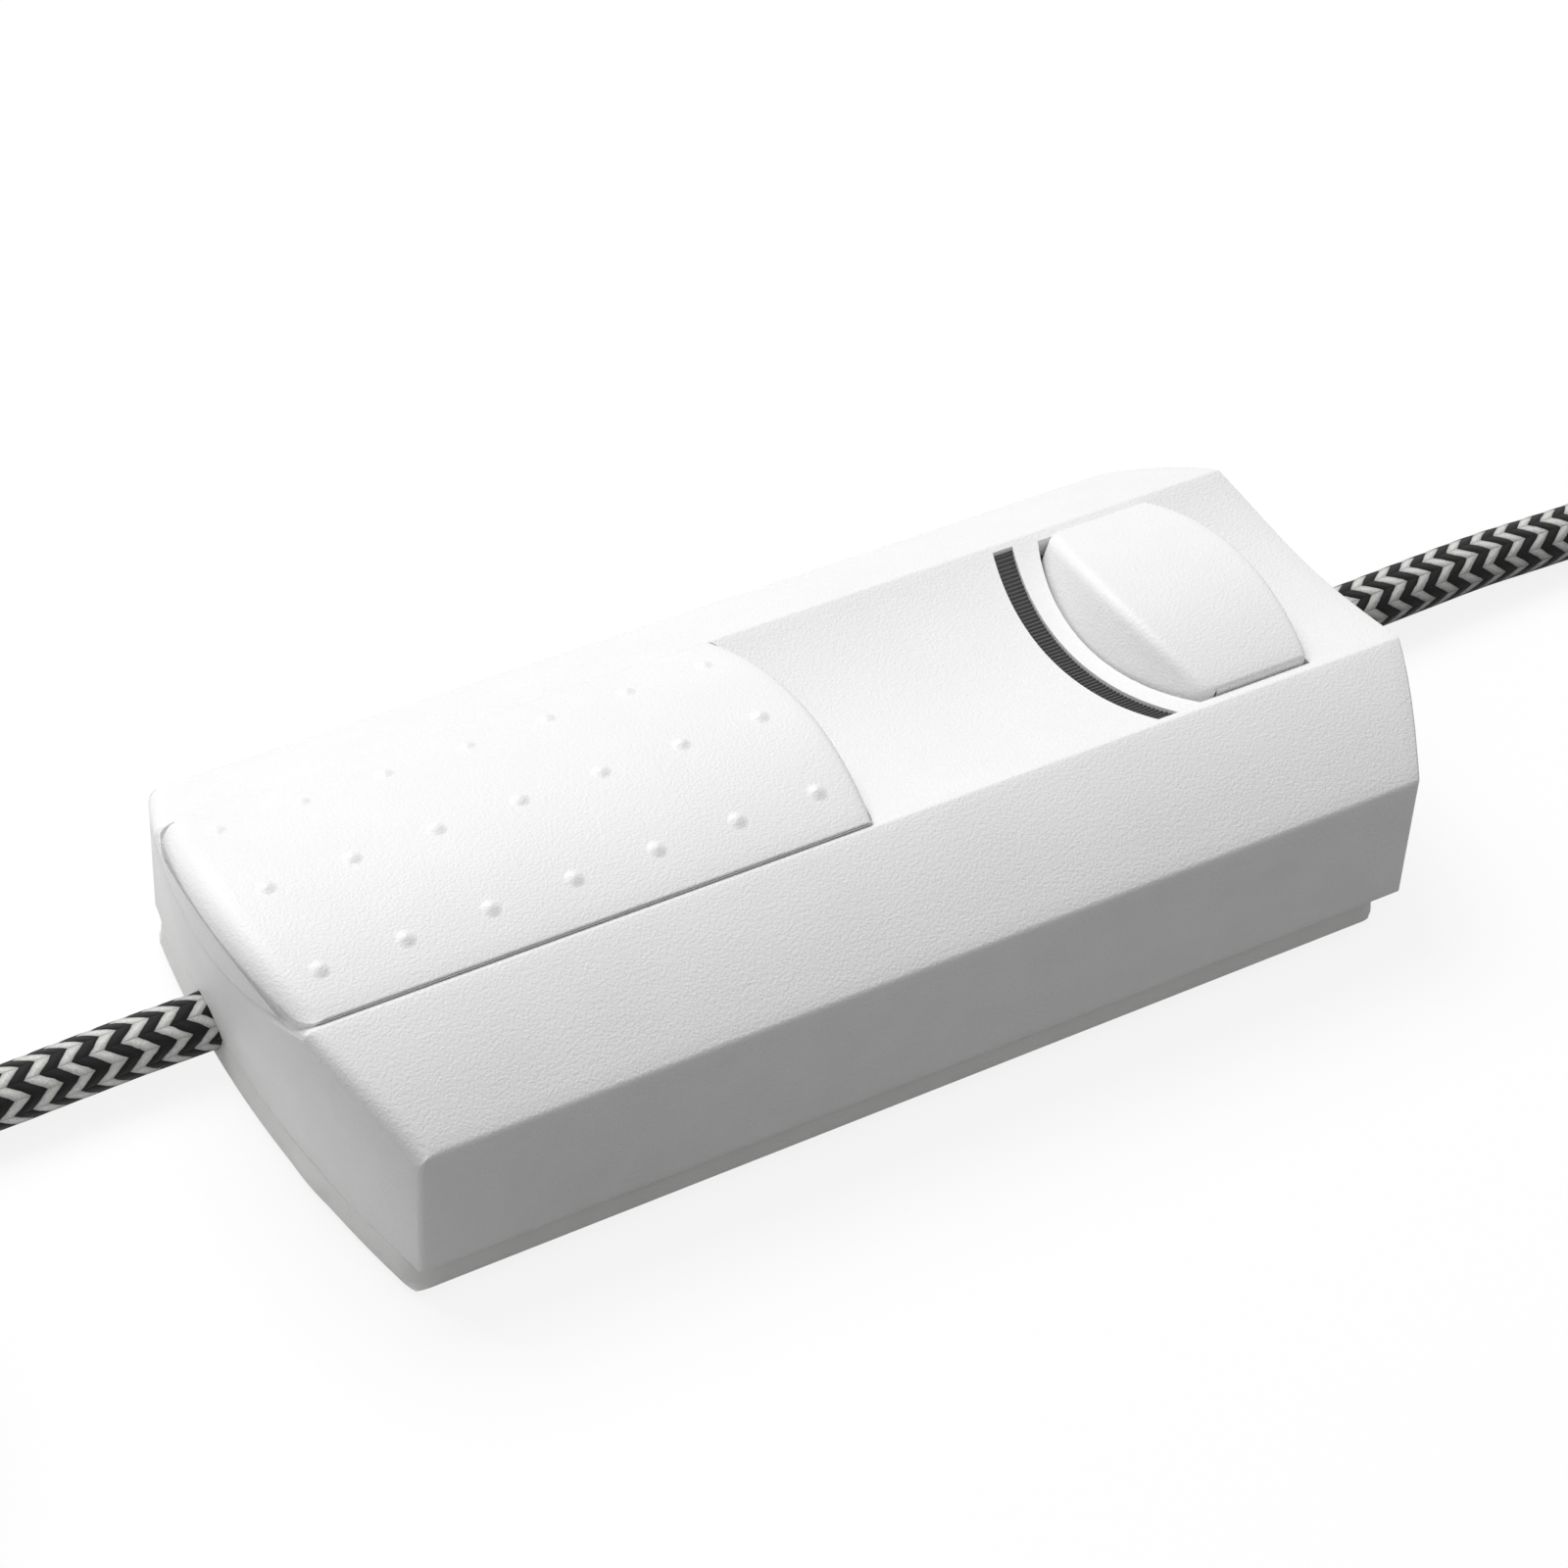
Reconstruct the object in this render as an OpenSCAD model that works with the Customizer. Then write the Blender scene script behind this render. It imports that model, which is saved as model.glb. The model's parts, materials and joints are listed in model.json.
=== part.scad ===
// Inline foot dimmer on a textile covered lead: a broad finger slider sets the
// brightness and a sprung push button switches the lamp.
// X runs along the housing, mains end at -X; Z is up; the origin is on the floor
// under the middle of the housing.

/* [Housing] */
// Length of the housing between the crowns of its two curved ends
body_l = 128; // [126:1:134]
// Width of the housing
body_w = 58; // [57:0.5:62]
// Height above the floor at which the upright sides turn into the shoulders
side_top_z = 19; // [18:0.5:20]
// Height above the floor of the long edges of the top panel
panel_z = 26.3; // [26:0.1:28]
// Width of the hollowed top panel
panel_w = 32; // [31.5:0.5:34]
// Depth of the hollow along the top panel
dish_depth = 2.6; // [2:0.1:2.8]
// Plan radius of the ends at the height of the top panel
end_r = 60; // [55:1:80]
// Plan radius of the ends at their lower edge
low_end_r = 150; // [120:5:200]
// Wall thickness of the upper shell
wall = 2; // [1.6:0.1:2.2]

/* [Base] */
// How far the rubber feet hold the base off the floor
foot_proud = 1; // [0.6:0.1:1.4]
// Height of the base's outer rim
base_h = 3.2; // [3:0.1:3.6]
// Thickness of the base's floor
base_floor = 1.6; // [1.4:0.1:1.8]
// Inset of the base from the shell's long sides
base_side_inset = 0.5; // [0.3:0.1:0.8]
// Inset of the base at its lamp end, where the shell overhangs it
base_lamp_inset = 3.1; // [2.5:0.1:3.5]
// Radius of the rubber feet
foot_r = 4.5; // [4:0.5:5]

/* [Slider] */
// Travel of the slider from dark to full brightness
slider_travel = 28; // [20:1:28]
// Length of the slider along its middle
slider_l = 64.4; // [62:0.2:66]
// Width of the slider
slider_w = 31.2; // [30:0.2:31.4]
// Plan radius of the slider's end that faces the button
slider_nose_r = 88; // [70:2:120]
// Height above the floor of the crown of the slider and the button
crown_z = 29.6; // [29:0.1:30.5]
// Height above the floor of the crown at the slider's long edges
crown_edge_z = 26.9; // [26.8:0.05:27.2]
// Radius of a grip dome where it meets the slider
dome_r = 0.8; // [0.6:0.1:1]
// Height of a grip dome
dome_h = 0.35; // [0.25:0.05:0.45]
// Distance between grip domes along the slider
dome_pitch = 8.88; // [8:0.02:9]
// Distance of the outer rows of grip domes from the middle row
dome_row = 10.9; // [9:0.1:12]

/* [Button] */
// Travel of the push button
button_travel = 2; // [1.5:0.1:2]
// Length of the button along its middle
button_l = 17; // [16.6:0.1:17.6]
// Width of the button
button_w = 29.1; // [28:0.1:29.4]
// Gap between the button and the edge of its opening
button_gap = 0.3; // [0.2:0.05:0.4]
// Plan radius of the button's end that faces the slider
button_foot_r = 33; // [30:1:40]
// Plan radius of the button's end that faces the lamp lead
button_lamp_r = 70; // [60:5:100]
// Height above the floor of the button's crown at its long edges
button_edge_z = 26.7; // [26.5:0.05:27]
// How much the button's sloping end draws in between its foot and its crown
button_rake = 1.6; // [1:0.1:2]

/* [Indicator] */
// Width of the curved indicator slot
slot_w = 1.9; // [1.6:0.1:2.1]
// Plan radius of the slot's edge that faces the slider
slot_r = 47; // [44:1:50]
// Half of the slot's width across the panel
slot_half = 14.3; // [13:0.1:14.5]

/* [Lead] */
// Diameter of the textile covered lead
cord_d = 6; // [5.8:0.1:6.2]
// Distance of the leads from the middle of the housing
exit_y = 10.8; // [10:0.1:11.5]
// Diameter of an insulated core inside the lead
core_d = 2; // [1.8:0.1:2.2]

/* [Hidden] */
$fn = 64;

// Fits and small offsets shared by several pieces
fit = 0.05;
seat_gap = 0.3;
cut = 1;
half_w = body_w / 2;
half_panel = panel_w / 2;

// Plan shape of the ends: both arcs meet the long sides at the same corner
corner_x = body_l / 2 - (end_r - sqrt(end_r * end_r - half_w * half_w));
function arc_x(y, r) = corner_x + sqrt(r * r - y * y) - sqrt(r * r - half_w * half_w);
low_crown_x = arc_x(0, low_end_r);

// Heights of the floor, the parting line and the panel's hollow
base_z = foot_proud;
floor_top = base_z + base_floor;
part_z = base_z + base_h;
dish_r = (half_panel * half_panel + dish_depth * dish_depth) / (2 * dish_depth);
dish_axis = panel_z - dish_depth + dish_r;
ceiling_z = panel_z - dish_depth - wall;
shoulder_a = atan((panel_z - side_top_z) / (half_w - half_panel));
function under_shoulder(y) =
    side_top_z + (half_w - y) * tan(shoulder_a) - wall / cos(shoulder_a);

// Crowns of the slider and the button, round across the housing
slider_hw = slider_w / 2;
function crown_r(half, edge_z) =
    (half * half + (crown_z - edge_z) * (crown_z - edge_z)) / (2 * (crown_z - edge_z));

// Slider at its dark end, 0.5 inside the shell's end
slider_inset = 0.5;
slider_tail_x = -body_l / 2 + slider_inset;
slider_nose_x = slider_tail_x + slider_l;
stem_x = (slider_tail_x + slider_nose_x) / 2;
stem_l = 6;
stem_w = 7.4;
stem_play = 0.2;
track_x = stem_x + slider_travel / 2;
slot_gap = 0.3;
stem_slot_l = slider_travel + stem_l + 2 * stem_play;
carrier_z = ceiling_z - 2;
carrier_t = 1.6;

// Button, measured from the lamp end
button_lamp_x = body_l / 2 - 11.2;
button_x0 = button_lamp_x - button_l;
button_mid = (button_x0 + button_lamp_x) / 2;
button_hw = button_w / 2;
button_roof = 1.8;
button_wall = 1.6;
flange_w = 1.2;
flange_z = ceiling_z - 1.8;
flange_t = 1.4;

// Indicator slot, just ahead of the button
slot_x0 = button_x0 - 4.7;
slot_cx = slot_x0 + slot_r;
lens_sunk = 0.35;

// Circuit board and what stands on it
board_z = 8.2;
board_t = 1.6;
board_top = board_z + board_t;
post_x = body_l / 2 - 19;
post_y = 21.5;
post_r = 3.4;
board_l = body_l - 30;
board_w = 46;
board_notch_x = post_x + 0.2;
board_corner = [16, 11];
board_post_x = 31;
board_post_y = 19;
board_post_r = 2.5;
screw_r = 1.45;
screw_head_r = 2.7;
screw_l = 12;
small_screw_r = 1.2;

// Slide potentiometer
pot_l = 44;
pot_w = 9;
pot_h = 6.5;
pot_wall = 1.2;
lever_x = 4;
lever_y = 1.2;
lever_top = carrier_z - 0.3;

// Push switch
switch_w = 8.5;
switch_h = 7;
plunger_r = 1.8;
plunger_len = 5.5;
switch_top = board_top + switch_h;
plunger_top = switch_top + 2.5;
spring_r = 3.4;
spring_wire = 0.7;
spring_turns = 7;
spring_rings = 16;

// Terminals, clamps and the leads inside the housing
cord_r = cord_d / 2;
core_r = core_d / 2;
cord_z = part_z + 0.2;
terminal_x = post_x - 5;
terminal_y = 12.3;
terminal_l = 9;
terminal_w = 10;
terminal_h = 7.5;
core_spread = 2.3;
core_gap = 1.3;
core_z = board_top + 3.2;
clamp_l = 3;
clamp_x = post_x + 6;
tail_end_x = clamp_x - clamp_l / 2 - 0.9;
clamp_pitch = 5.4;
pillar_r = 2.1;
clamp_z = cord_z + cord_r;
clamp_t = 2;

// Outer face of each lead's exit, where the free stretch begins
exit_x = arc_x(exit_y, low_end_r) + 0.6;

// Each lead runs to a hank, which is held by a tie that lies under it
tie_t = 0.8;
tie_w = 5;
tie_fit = 0.1;
layer_pitch = cord_d + 0.5;
strand_pitch = cord_d + 0.7;
hank_y = -1.5;
hank_r = 27.5;
hank_z = tie_t + tie_fit + cord_r;
waist = 2;
fold_steps = 10;
run_steps = 2;
loop_steps = 2 * (fold_steps + run_steps);
run_y = hank_y + hank_r;

// Mains side: where its hank begins, and half of the hank's runs
mains_hank_x = 130.5;
mains_half_run = 14;
mains_layers = 4;
mains_points = [
    [-exit_x, exit_y, cord_z],
    [-66, exit_y, cord_z],
    [-74, exit_y, 4.2],
    [-83, exit_y, 4],
    [-89.5, 11.6, 4],
    [-96, 13.9, hank_z],
    [-102.5, 18.4, hank_z],
    [-109, 22.9, hank_z],
    [-115.5, 25.2, hank_z],
    [-122, run_y, hank_z],
    [cord_d - mains_hank_x, run_y, hank_z],
];
mains_far_x = mains_hank_x + 2 * mains_half_run;
plug_t = 13.6;
plug_z = plug_t / 2;
plug_x = -mains_far_x - 54;
plug_y = 13;
plug_l = 35;
mains_top_z = hank_z + (mains_layers - 1) * layer_pitch;
plug_lead_points = [
    [-mains_far_x - cord_d, run_y, mains_top_z],
    [-mains_far_x - 8.5, run_y, mains_top_z],
    [-mains_far_x - 14, 25.7, mains_top_z - 0.4],
    [-mains_far_x - 19.5, 24.6, mains_top_z - 1.8],
    [-mains_far_x - 25, 22.7, mains_top_z - 4.2],
    [-mains_far_x - 30.5, 19.5, plug_z + 8.3],
    [-mains_far_x - 36, 16.3, plug_z + 4.2],
    [-mains_far_x - 41.5, 14.4, plug_z + 1.8],
    [-mains_far_x - 47, 13.3, plug_z + 0.4],
    [-mains_far_x - 52.5, plug_y, plug_z],
    [plug_x, plug_y, plug_z],
];

// Lamp side
lamp_hank_x = 160;
lamp_half_run = 8;
lamp_layers = 2;
lamp_points = [
    [exit_x, exit_y, cord_z],
    [68, exit_y, cord_z],
    [78, 11, cord_z],
    [88, 11.4, 4.3],
    [98, 11.8, 4.1],
    [106, 11.9, 3.7],
    [112.5, 12.1, 3.4],
    [119, 12.9, 3.3],
    [125.5, 15.1, 3.3],
    [132, 18.8, 3.5],
    [138.5, 22.7, 3.7],
    [145, 25.2, 3.8],
    [151.5, run_y, hank_z],
    [lamp_hank_x - cord_d, run_y, hank_z],
];
lamp_far_x = lamp_hank_x + 2 * lamp_half_run;
lamp_top_z = hank_z + (lamp_layers - 1) * layer_pitch;
bared_x = lamp_far_x + cord_d;
form_sides = 6;
tube_sides = 12;
core_sides = 10;

function unit(v) = v / norm(v);
function last(v) = v[len(v) - 1];

// Direction of a path at point i, the mean of the runs on either side
function heading(p, i) =
    i == 0 ? unit(p[1] - p[0])
    : i == len(p) - 1 ? unit(p[i] - p[i - 1])
    : unit(unit(p[i] - p[i - 1]) + unit(p[i + 1] - p[i]));

// One ring of a tube round point c, square to direction d. ref is a direction
// that the tube never takes.
function ring(c, d, r, sides, ref) =
    let (side = unit(cross(ref, d)), up = cross(d, side))
    [for (k = [0 : sides - 1])
        let (a = 360 * (k + 0.5) / sides) c + r * cos(a) * side + r * sin(a) * up];

// Way of a smooth path at point i. Its first and last runs stay straight.
function way(p, i) =
    let (n = len(p) - 1)
    i < 2 ? unit(p[1] - p[0])
    : i > n - 2 ? unit(p[n] - p[n - 1])
    : unit(p[i + 1] - p[i - 1]);

// Smooth path through hand chosen points, steps rings to a run
function smooth(p, steps) = [
    for (i = [0 : len(p) - 2])
        let (
            b = p[i],
            c = p[i + 1],
            m0 = norm(c - b) * way(p, i),
            m1 = norm(c - b) * way(p, i + 1)
        )
        for (s = [0 : steps - 1])
            let (t = s / steps)
            (2 * t * t * t - 3 * t * t + 1) * b + (t * t * t - 2 * t * t + t) * m0
            + (3 * t * t - 2 * t * t * t) * c + (t * t * t - t * t) * m1,
    last(p)
];

module tube(p, r, sides, ref = [0, 0, 1]) {
    rings = [for (i = [0 : len(p) - 1]) each ring(p[i], heading(p, i), r, sides, ref)];
    n = len(p);
    walls = [
        for (i = [0 : n - 2])
            for (k = [0 : sides - 1])
                let (
                    a = i * sides + k,
                    b = i * sides + (k + 1) % sides,
                    c = a + sides,
                    d = b + sides
                )
                each [[a, c, b], [b, c, d]]
    ];
    first = [for (k = [1 : sides - 2]) [0, k, k + 1]];
    end = (n - 1) * sides;
    cap = [for (k = [1 : sides - 2]) [end, end + k + 1, end + k]];
    polyhedron(points = rings, faces = concat(walls, first, cap), convexity = 4);
}

// Share of the way from one end fold's strands to the other's, in whole loops.
// Step 0 is the middle of the run that the lead comes in on.
function folded(k) =
    let (
        half = run_steps / 2,
        m = k - loop_steps * floor(k / loop_steps),
        first = min(max((m - half) / fold_steps, 0), 1),
        second = min(max((m - half - fold_steps - run_steps) / fold_steps, 0), 1)
    )
    floor(k / loop_steps) + (first + second) / 2;

// Strands lie from hank_r inwards on even layers and outwards again on odd ones
function strand_r(t) =
    let (layer = floor(t), share = t - layer)
    hank_r - strand_pitch * (layer % 2 == 0 ? share : 1 - share);

// Sum of the climbs so far, each along the run where the spiral reverses
function climbed(k, layers) = layers < 2 ? 0 :
    min(max((k - loop_steps * (layers - 1)) / run_steps + 0.5, 0), 1)
    + climbed(k, layers - 1);

// A hank's path at step k, where side is -1 for the mains lead, 1 for the lamp lead
function hank_point(side, near_x, half_run, layers, k) =
    let (
        m = k - loop_steps * floor(k / loop_steps),
        half = run_steps / 2,
        r = strand_r(folded(k)),
        back = half + fold_steps,
        out = m <= half ? m / half : m >= loop_steps - half ? (m - loop_steps) / half
            : m <= back ? 1 : m >= back + run_steps ? -1 : 1 - (m - back) / half,
        a = m <= half || m >= loop_steps - half ? 0
            : m <= back ? 180 * (m - half) / fold_steps
            : m <= back + run_steps ? 180
            : 180 + 180 * (m - back - run_steps) / fold_steps,
        y = (r - waist * (1 - abs(out))) * cos(a)
    )
    [
        side * (near_x + half_run + half_run * out + r * sin(a)),
        hank_y + y,
        hank_z + layer_pitch * climbed(k, layers)
    ];
function hank_path(side, near_x, half_run, layers) = concat(
    [[side * (near_x - cord_d), run_y, hank_z]],
    [
        for (k = [-run_steps / 2 : layers * loop_steps + run_steps / 2])
            hank_point(side, near_x, half_run, layers, k)
    ],
    [[
        side * (near_x + 2 * half_run + cord_d), run_y,
        hank_z + layer_pitch * (layers - 1)
    ]]
);

// Least gap between loops, on points over half a loop apart
function least_gap(p) = min([
    for (i = [0 : len(p) - 1])
        for (j = [i + loop_steps / 2 : 1 : len(p) - 1])
            norm(p[i] - p[j])
]) - cord_d;

mains_hank_path = hank_path(-1, mains_hank_x, mains_half_run, mains_layers);
lamp_hank_path = hank_path(1, lamp_hank_x, lamp_half_run, lamp_layers);
echo(mains_hank_gap = least_gap(mains_hank_path), lamp_hank_gap = least_gap(lamp_hank_path));

// Straight insulated run through points, with round joints
module wire(p, r) {
    for (i = [0 : len(p) - 2]) {
        run = p[i + 1] - p[i];
        translate(p[i])
            rotate([0, acos(run.z / norm(run)), atan2(run.y, run.x)])
                cylinder(h = norm(run), r = r, $fn = 24);
    }
    for (i = [1 : 1 : len(p) - 2])
        translate(p[i]) sphere(r = r, $fn = 24);
}

module along_x(x, y, z) {
    translate([x, y, z]) rotate([0, 90, 0]) children();
}

module block(x0, y0, z0, size) {
    translate([x0, y0, z0]) cube(size);
}

module mid_block(x, y, z0, size) {
    translate([x - size.x / 2, y - size.y / 2, z0]) cube(size);
}

// Both ends of the plan, arc points from one long side to the other
end_steps = 24;
function end_arc(r, inset) = [
    for (i = [0 : end_steps])
        let (y = -half_w + body_w * i / end_steps)
        [arc_x(y, r) - inset, y]
];
module plan(r, inset) {
    right = end_arc(r, inset);
    left = [for (i = [end_steps : -1 : 0]) [-right[i].x, right[i].y]];
    polygon(concat(right, left));
}

// Body between the gently curved lower ends and the rounder upper ends
module end_loft(inset, below) {
    slice = 0.01;
    hull() {
        translate([0, 0, part_z - below]) linear_extrude(slice) plan(low_end_r, inset);
        translate([0, 0, panel_z]) linear_extrude(slice) plan(end_r, inset);
    }
}

module section(points) {
    rotate([90, 0, 90])
        linear_extrude(height = body_l + 2 * cut, center = true)
            polygon(points);
}

module dish(extra) {
    along_x(-body_l / 2 - cut, 0, dish_axis)
        cylinder(h = body_l + 2 * cut, r = dish_r + extra, $fn = 180);
}

module crown(half, edge_z, extra) {
    r = crown_r(half, edge_z);
    along_x(-body_l / 2 - cut, 0, crown_z - r)
        cylinder(h = body_l + 2 * cut, r = r + extra, $fn = 180);
}

module shell_outside() {
    intersection() {
        end_loft(0, 0);
        section([
            [-half_w, part_z], [-half_w, side_top_z], [-half_panel, panel_z],
            [half_panel, panel_z], [half_w, side_top_z], [half_w, part_z],
        ]);
    }
}

module shell_inside() {
    inner = half_w - wall;
    difference() {
        intersection() {
            end_loft(wall, cut);
            section([
                [-inner, part_z - cut], [-inner, under_shoulder(inner)],
                [-half_panel, under_shoulder(half_panel)],
                [half_panel, under_shoulder(half_panel)],
                [inner, under_shoulder(inner)], [inner, part_z - cut],
            ]);
        }
        dish(wall);
        shell_posts();
        lamp_end_sill();
    }
}

module at_posts() {
    for (sx = [-1, 1])
        for (sy = [-1, 1])
            translate([sx * post_x, sy * post_y, 0]) children();
}

post_foot = floor_top + 2.8;
module shell_posts() {
    at_posts() translate([0, 0, post_foot]) cylinder(h = panel_z, r = post_r);
}

// Sill that closes the step between the base's short end and the shell
sill_t = 1.6;
sill_lap = 1.2;
module lamp_end_sill() {
    difference() {
        block(body_l / 4, -half_w, part_z - 2 * cut, [body_l, body_w, sill_t + 2 * cut]);
        translate([low_crown_x - base_lamp_inset - sill_lap - low_end_r, 0, 0])
            cylinder(h = panel_z, r = low_end_r, $fn = 180);
    }
}

module cord_bores() {
    for (s = [-1, 1])
        translate([s * (tail_end_x - cut), exit_y, cord_z])
            rotate([0, s * 90, 0]) cylinder(h = 20, r = cord_r + fit);
}

// Round ended curved band of the indicator slot, grown by extra
module slot_plan(extra) {
    intersection() {
        difference() {
            translate([slot_cx, 0]) circle(r = slot_r + extra, $fn = 180);
            translate([slot_cx, 0]) circle(r = slot_r - slot_w - extra, $fn = 180);
        }
        translate([slot_x0 - 5, -slot_half - extra]) square([20, 2 * (slot_half + extra)]);
    }
}

// Outline of the button's foot, grown by extra
module button_plan(extra) {
    intersection() {
        translate([button_x0 + button_foot_r, 0])
            circle(r = button_foot_r + extra, $fn = 180);
        translate([button_lamp_x - button_lamp_r, 0])
            circle(r = button_lamp_r + extra, $fn = 180);
        translate([button_mid - button_l, -button_hw - extra])
            square([2 * button_l, button_w + 2 * extra]);
    }
}

module upper_shell() {
    color("white")
    difference() {
        shell_outside();
        shell_inside();
        dish(0);
        mid_block(track_x, 0, carrier_z, [stem_slot_l, stem_w + 2 * slot_gap, 10]);
        translate([0, 0, flange_z]) linear_extrude(10) button_plan(button_gap);
        translate([0, 0, flange_z]) linear_extrude(10) slot_plan(0);
        at_posts() cylinder(h = post_foot + screw_l, r = screw_r + fit);
        cord_bores();
    }
}

// Outline of the base, grown by extra, square at the mains end, rounder at the other
base_hw = half_w - base_side_inset;
base_mains_proud = 0.3;
base_corner_r = 3;
module base_plan(extra) {
    mains_x = -low_crown_x - base_mains_proud - extra;
    lamp_x = low_crown_x - base_lamp_inset + extra;
    lamp_corner = arc_x(base_hw, low_end_r) - base_lamp_inset + extra;
    difference() {
        intersection() {
            translate([mains_x + low_end_r, 0]) circle(r = low_end_r, $fn = 180);
            translate([lamp_x - low_end_r, 0]) circle(r = low_end_r, $fn = 180);
            translate([-body_l, -base_hw - extra]) square([2 * body_l, 2 * (base_hw + extra)]);
        }
        for (s = [-1, 1])
            translate([lamp_corner - base_corner_r, s * (base_hw + extra - base_corner_r)])
                difference() {
                    translate([0, s > 0 ? 0 : -2 * base_corner_r])
                        square(2 * base_corner_r);
                    circle(r = base_corner_r);
                }
    }
}

// Thumbnail ledge where the shell is levered off the base
ledge_y = -11.3;
ledge_half = 3.5;
ledge_out = 0.6;
ledge_r = (ledge_half * ledge_half + ledge_out * ledge_out) / (2 * ledge_out);
ledge_h = 1.1;
module pry_ledge() {
    ledge_x = -arc_x(-ledge_y, low_end_r) - base_mains_proud - ledge_out + ledge_r;
    intersection() {
        translate([ledge_x, ledge_y, part_z - ledge_h])
            cylinder(h = ledge_h, r = ledge_r, $fn = 96);
        block(-body_l, -half_w, 0, [body_l - low_crown_x + rim_t / 2, body_w, body_l]);
    }
}

rail_l = 70;
rail_t = 1.2;
rail_up = 2;
foot_x = post_x - 9;
foot_y = 20;
foot_sunk = 0.6;
module at_feet() {
    for (sx = [-1, 1])
        for (sy = [-1, 1])
            translate([sx * foot_x, sy * foot_y, 0]) children();
}

module at_board_posts() {
    for (sx = [-1, 1])
        for (sy = [-1, 1])
            translate([sx * board_post_x, sy * board_post_y, 0]) children();
}

module at_clamps() {
    for (s = [-1, 1])
        for (t = [-1, 1])
            translate([s * clamp_x, exit_y + t * clamp_pitch, 0]) children();
}

rim_t = 2.2;
module base_plate() {
    color([0.93, 0.93, 0.91])
    difference() {
        union() {
            difference() {
                translate([0, 0, base_z]) linear_extrude(base_h) base_plan(0);
                translate([0, 0, floor_top]) linear_extrude(base_h) base_plan(-rim_t);
            }
            pry_ledge();
            for (s = [-1, 1])
                mid_block(0, s * (half_w - wall - seat_gap - rail_t / 2), floor_top - fit,
                    [rail_l, rail_t, part_z + rail_up - floor_top]);
            at_posts() translate([0, 0, base_z]) cylinder(h = post_foot - base_z, r = post_r);
            at_board_posts() translate([0, 0, base_z])
                cylinder(h = board_z - base_z, r = board_post_r);
            at_clamps() translate([0, 0, base_z])
                cylinder(h = clamp_z - base_z, r = pillar_r);
        }
        at_posts() {
            cylinder(h = post_foot + cut, r = screw_r + 0.2);
            cylinder(h = base_z + screw_head_t + 0.5, r = screw_head_r + 0.2);
        }
        at_feet() cylinder(h = base_z + foot_sunk, r = foot_r + fit);
        at_board_posts() translate([0, 0, floor_top])
            cylinder(h = board_z, r = small_screw_r + fit);
        at_clamps() translate([0, 0, floor_top])
            cylinder(h = clamp_z, r = small_screw_r + fit);
        cord_bores();
    }
}

module rubber_feet() {
    color([0.2, 0.2, 0.21])
    at_feet() cylinder(h = foot_proud + foot_sunk, r = foot_r);
}

screw_head_t = 1.6;
module pan_screw(head_r, head_t, shank_r, shank_l) {
    difference() {
        union() {
            cylinder(h = head_t, r = head_r);
            translate([0, 0, head_t]) cylinder(h = shank_l, r = shank_r);
        }
        for (a = [0, 90])
            rotate(a) mid_block(0, 0, -cut, [head_r * 1.2, 0.6, cut + head_t / 2]);
    }
}

module housing_screws() {
    color("silver")
    at_posts() translate([0, 0, base_z + 0.5])
        pan_screw(screw_head_r, screw_head_t, screw_r, screw_l);
}

// Slider outline at the dark end, drawn in by inset
module slider_plan(inset) {
    intersection() {
        translate([slider_tail_x + end_r - slider_inset, 0])
            circle(r = end_r - slider_inset - inset, $fn = 180);
        translate([slider_nose_x - slider_nose_r, 0])
            circle(r = slider_nose_r - inset, $fn = 180);
        translate([slider_tail_x - cut, -slider_hw + inset])
            square([slider_l + 2 * cut, slider_w - 2 * inset]);
    }
}

dome_ball = (dome_r * dome_r + dome_h * dome_h) / (2 * dome_h);
dome_in = 6.1;
dome_margin = 3;
dome_count = floor((slider_l - dome_in - dome_margin) / dome_pitch) + 1;
dome_x0 = slider_tail_x + dome_in;
dish_gap = 0.15;
peg_r = 1;
peg_l = 3;
module slider_plate() {
    roof_t = 1.6;
    skirt_t = 2;
    r = crown_r(slider_hw, crown_edge_z);
    function crown_at(y) = crown_z - r + sqrt(r * r - y * y);
    color("white")
    difference() {
        union() {
            intersection() {
                translate([0, 0, ceiling_z]) linear_extrude(20) slider_plan(0);
                crown(slider_hw, crown_edge_z, 0);
                dish(-dish_gap);
            }
            mid_block(stem_x, 0, carrier_z + carrier_t,
                [stem_l, stem_w, crown_z - roof_t - carrier_z - carrier_t]);
            for (i = [0 : dome_count - 1])
                for (j = [-1 : 1])
                    let (y = j * dome_row)
                    translate([dome_x0 + i * dome_pitch, y, crown_at(y) + dome_h - dome_ball])
                        sphere(r = dome_ball, $fn = 32);
        }
        difference() {
            intersection() {
                translate([0, 0, ceiling_z]) linear_extrude(20) slider_plan(skirt_t);
                crown(slider_hw, crown_edge_z, -roof_t);
            }
            mid_block(stem_x, 0, 0, [stem_l, stem_w, body_l]);
            for (s = [-1, 1])
                mid_block(stem_x + s * 16, 0, 0, [1.4, slider_w, body_l]);
        }
        for (s = [-1, 1])
            translate([stem_x + s * stem_l / 4, 0, carrier_z])
                cylinder(h = carrier_t + peg_l + seat_gap, r = peg_r + fit);
    }
}

fork_h = 2.6;
carrier_l = 12;
carrier_w = 14;
module slider_carrier() {
    fork_l = lever_x + 3;
    fork_w = lever_y + 4;
    color([0.75, 0.75, 0.72])
    difference() {
        union() {
            mid_block(stem_x, 0, carrier_z, [carrier_l, carrier_w, carrier_t]);
            mid_block(stem_x, 0, carrier_z - fork_h, [fork_l, fork_w, fork_h]);
            for (s = [-1, 1])
                translate([stem_x + s * stem_l / 4, 0, carrier_z])
                    cylinder(h = carrier_t + peg_l, r = peg_r);
        }
        mid_block(stem_x, 0, carrier_z - fork_h - cut,
            [lever_x + 4 * fit, lever_y + 4 * fit, fork_h + cut]);
    }
}

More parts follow.
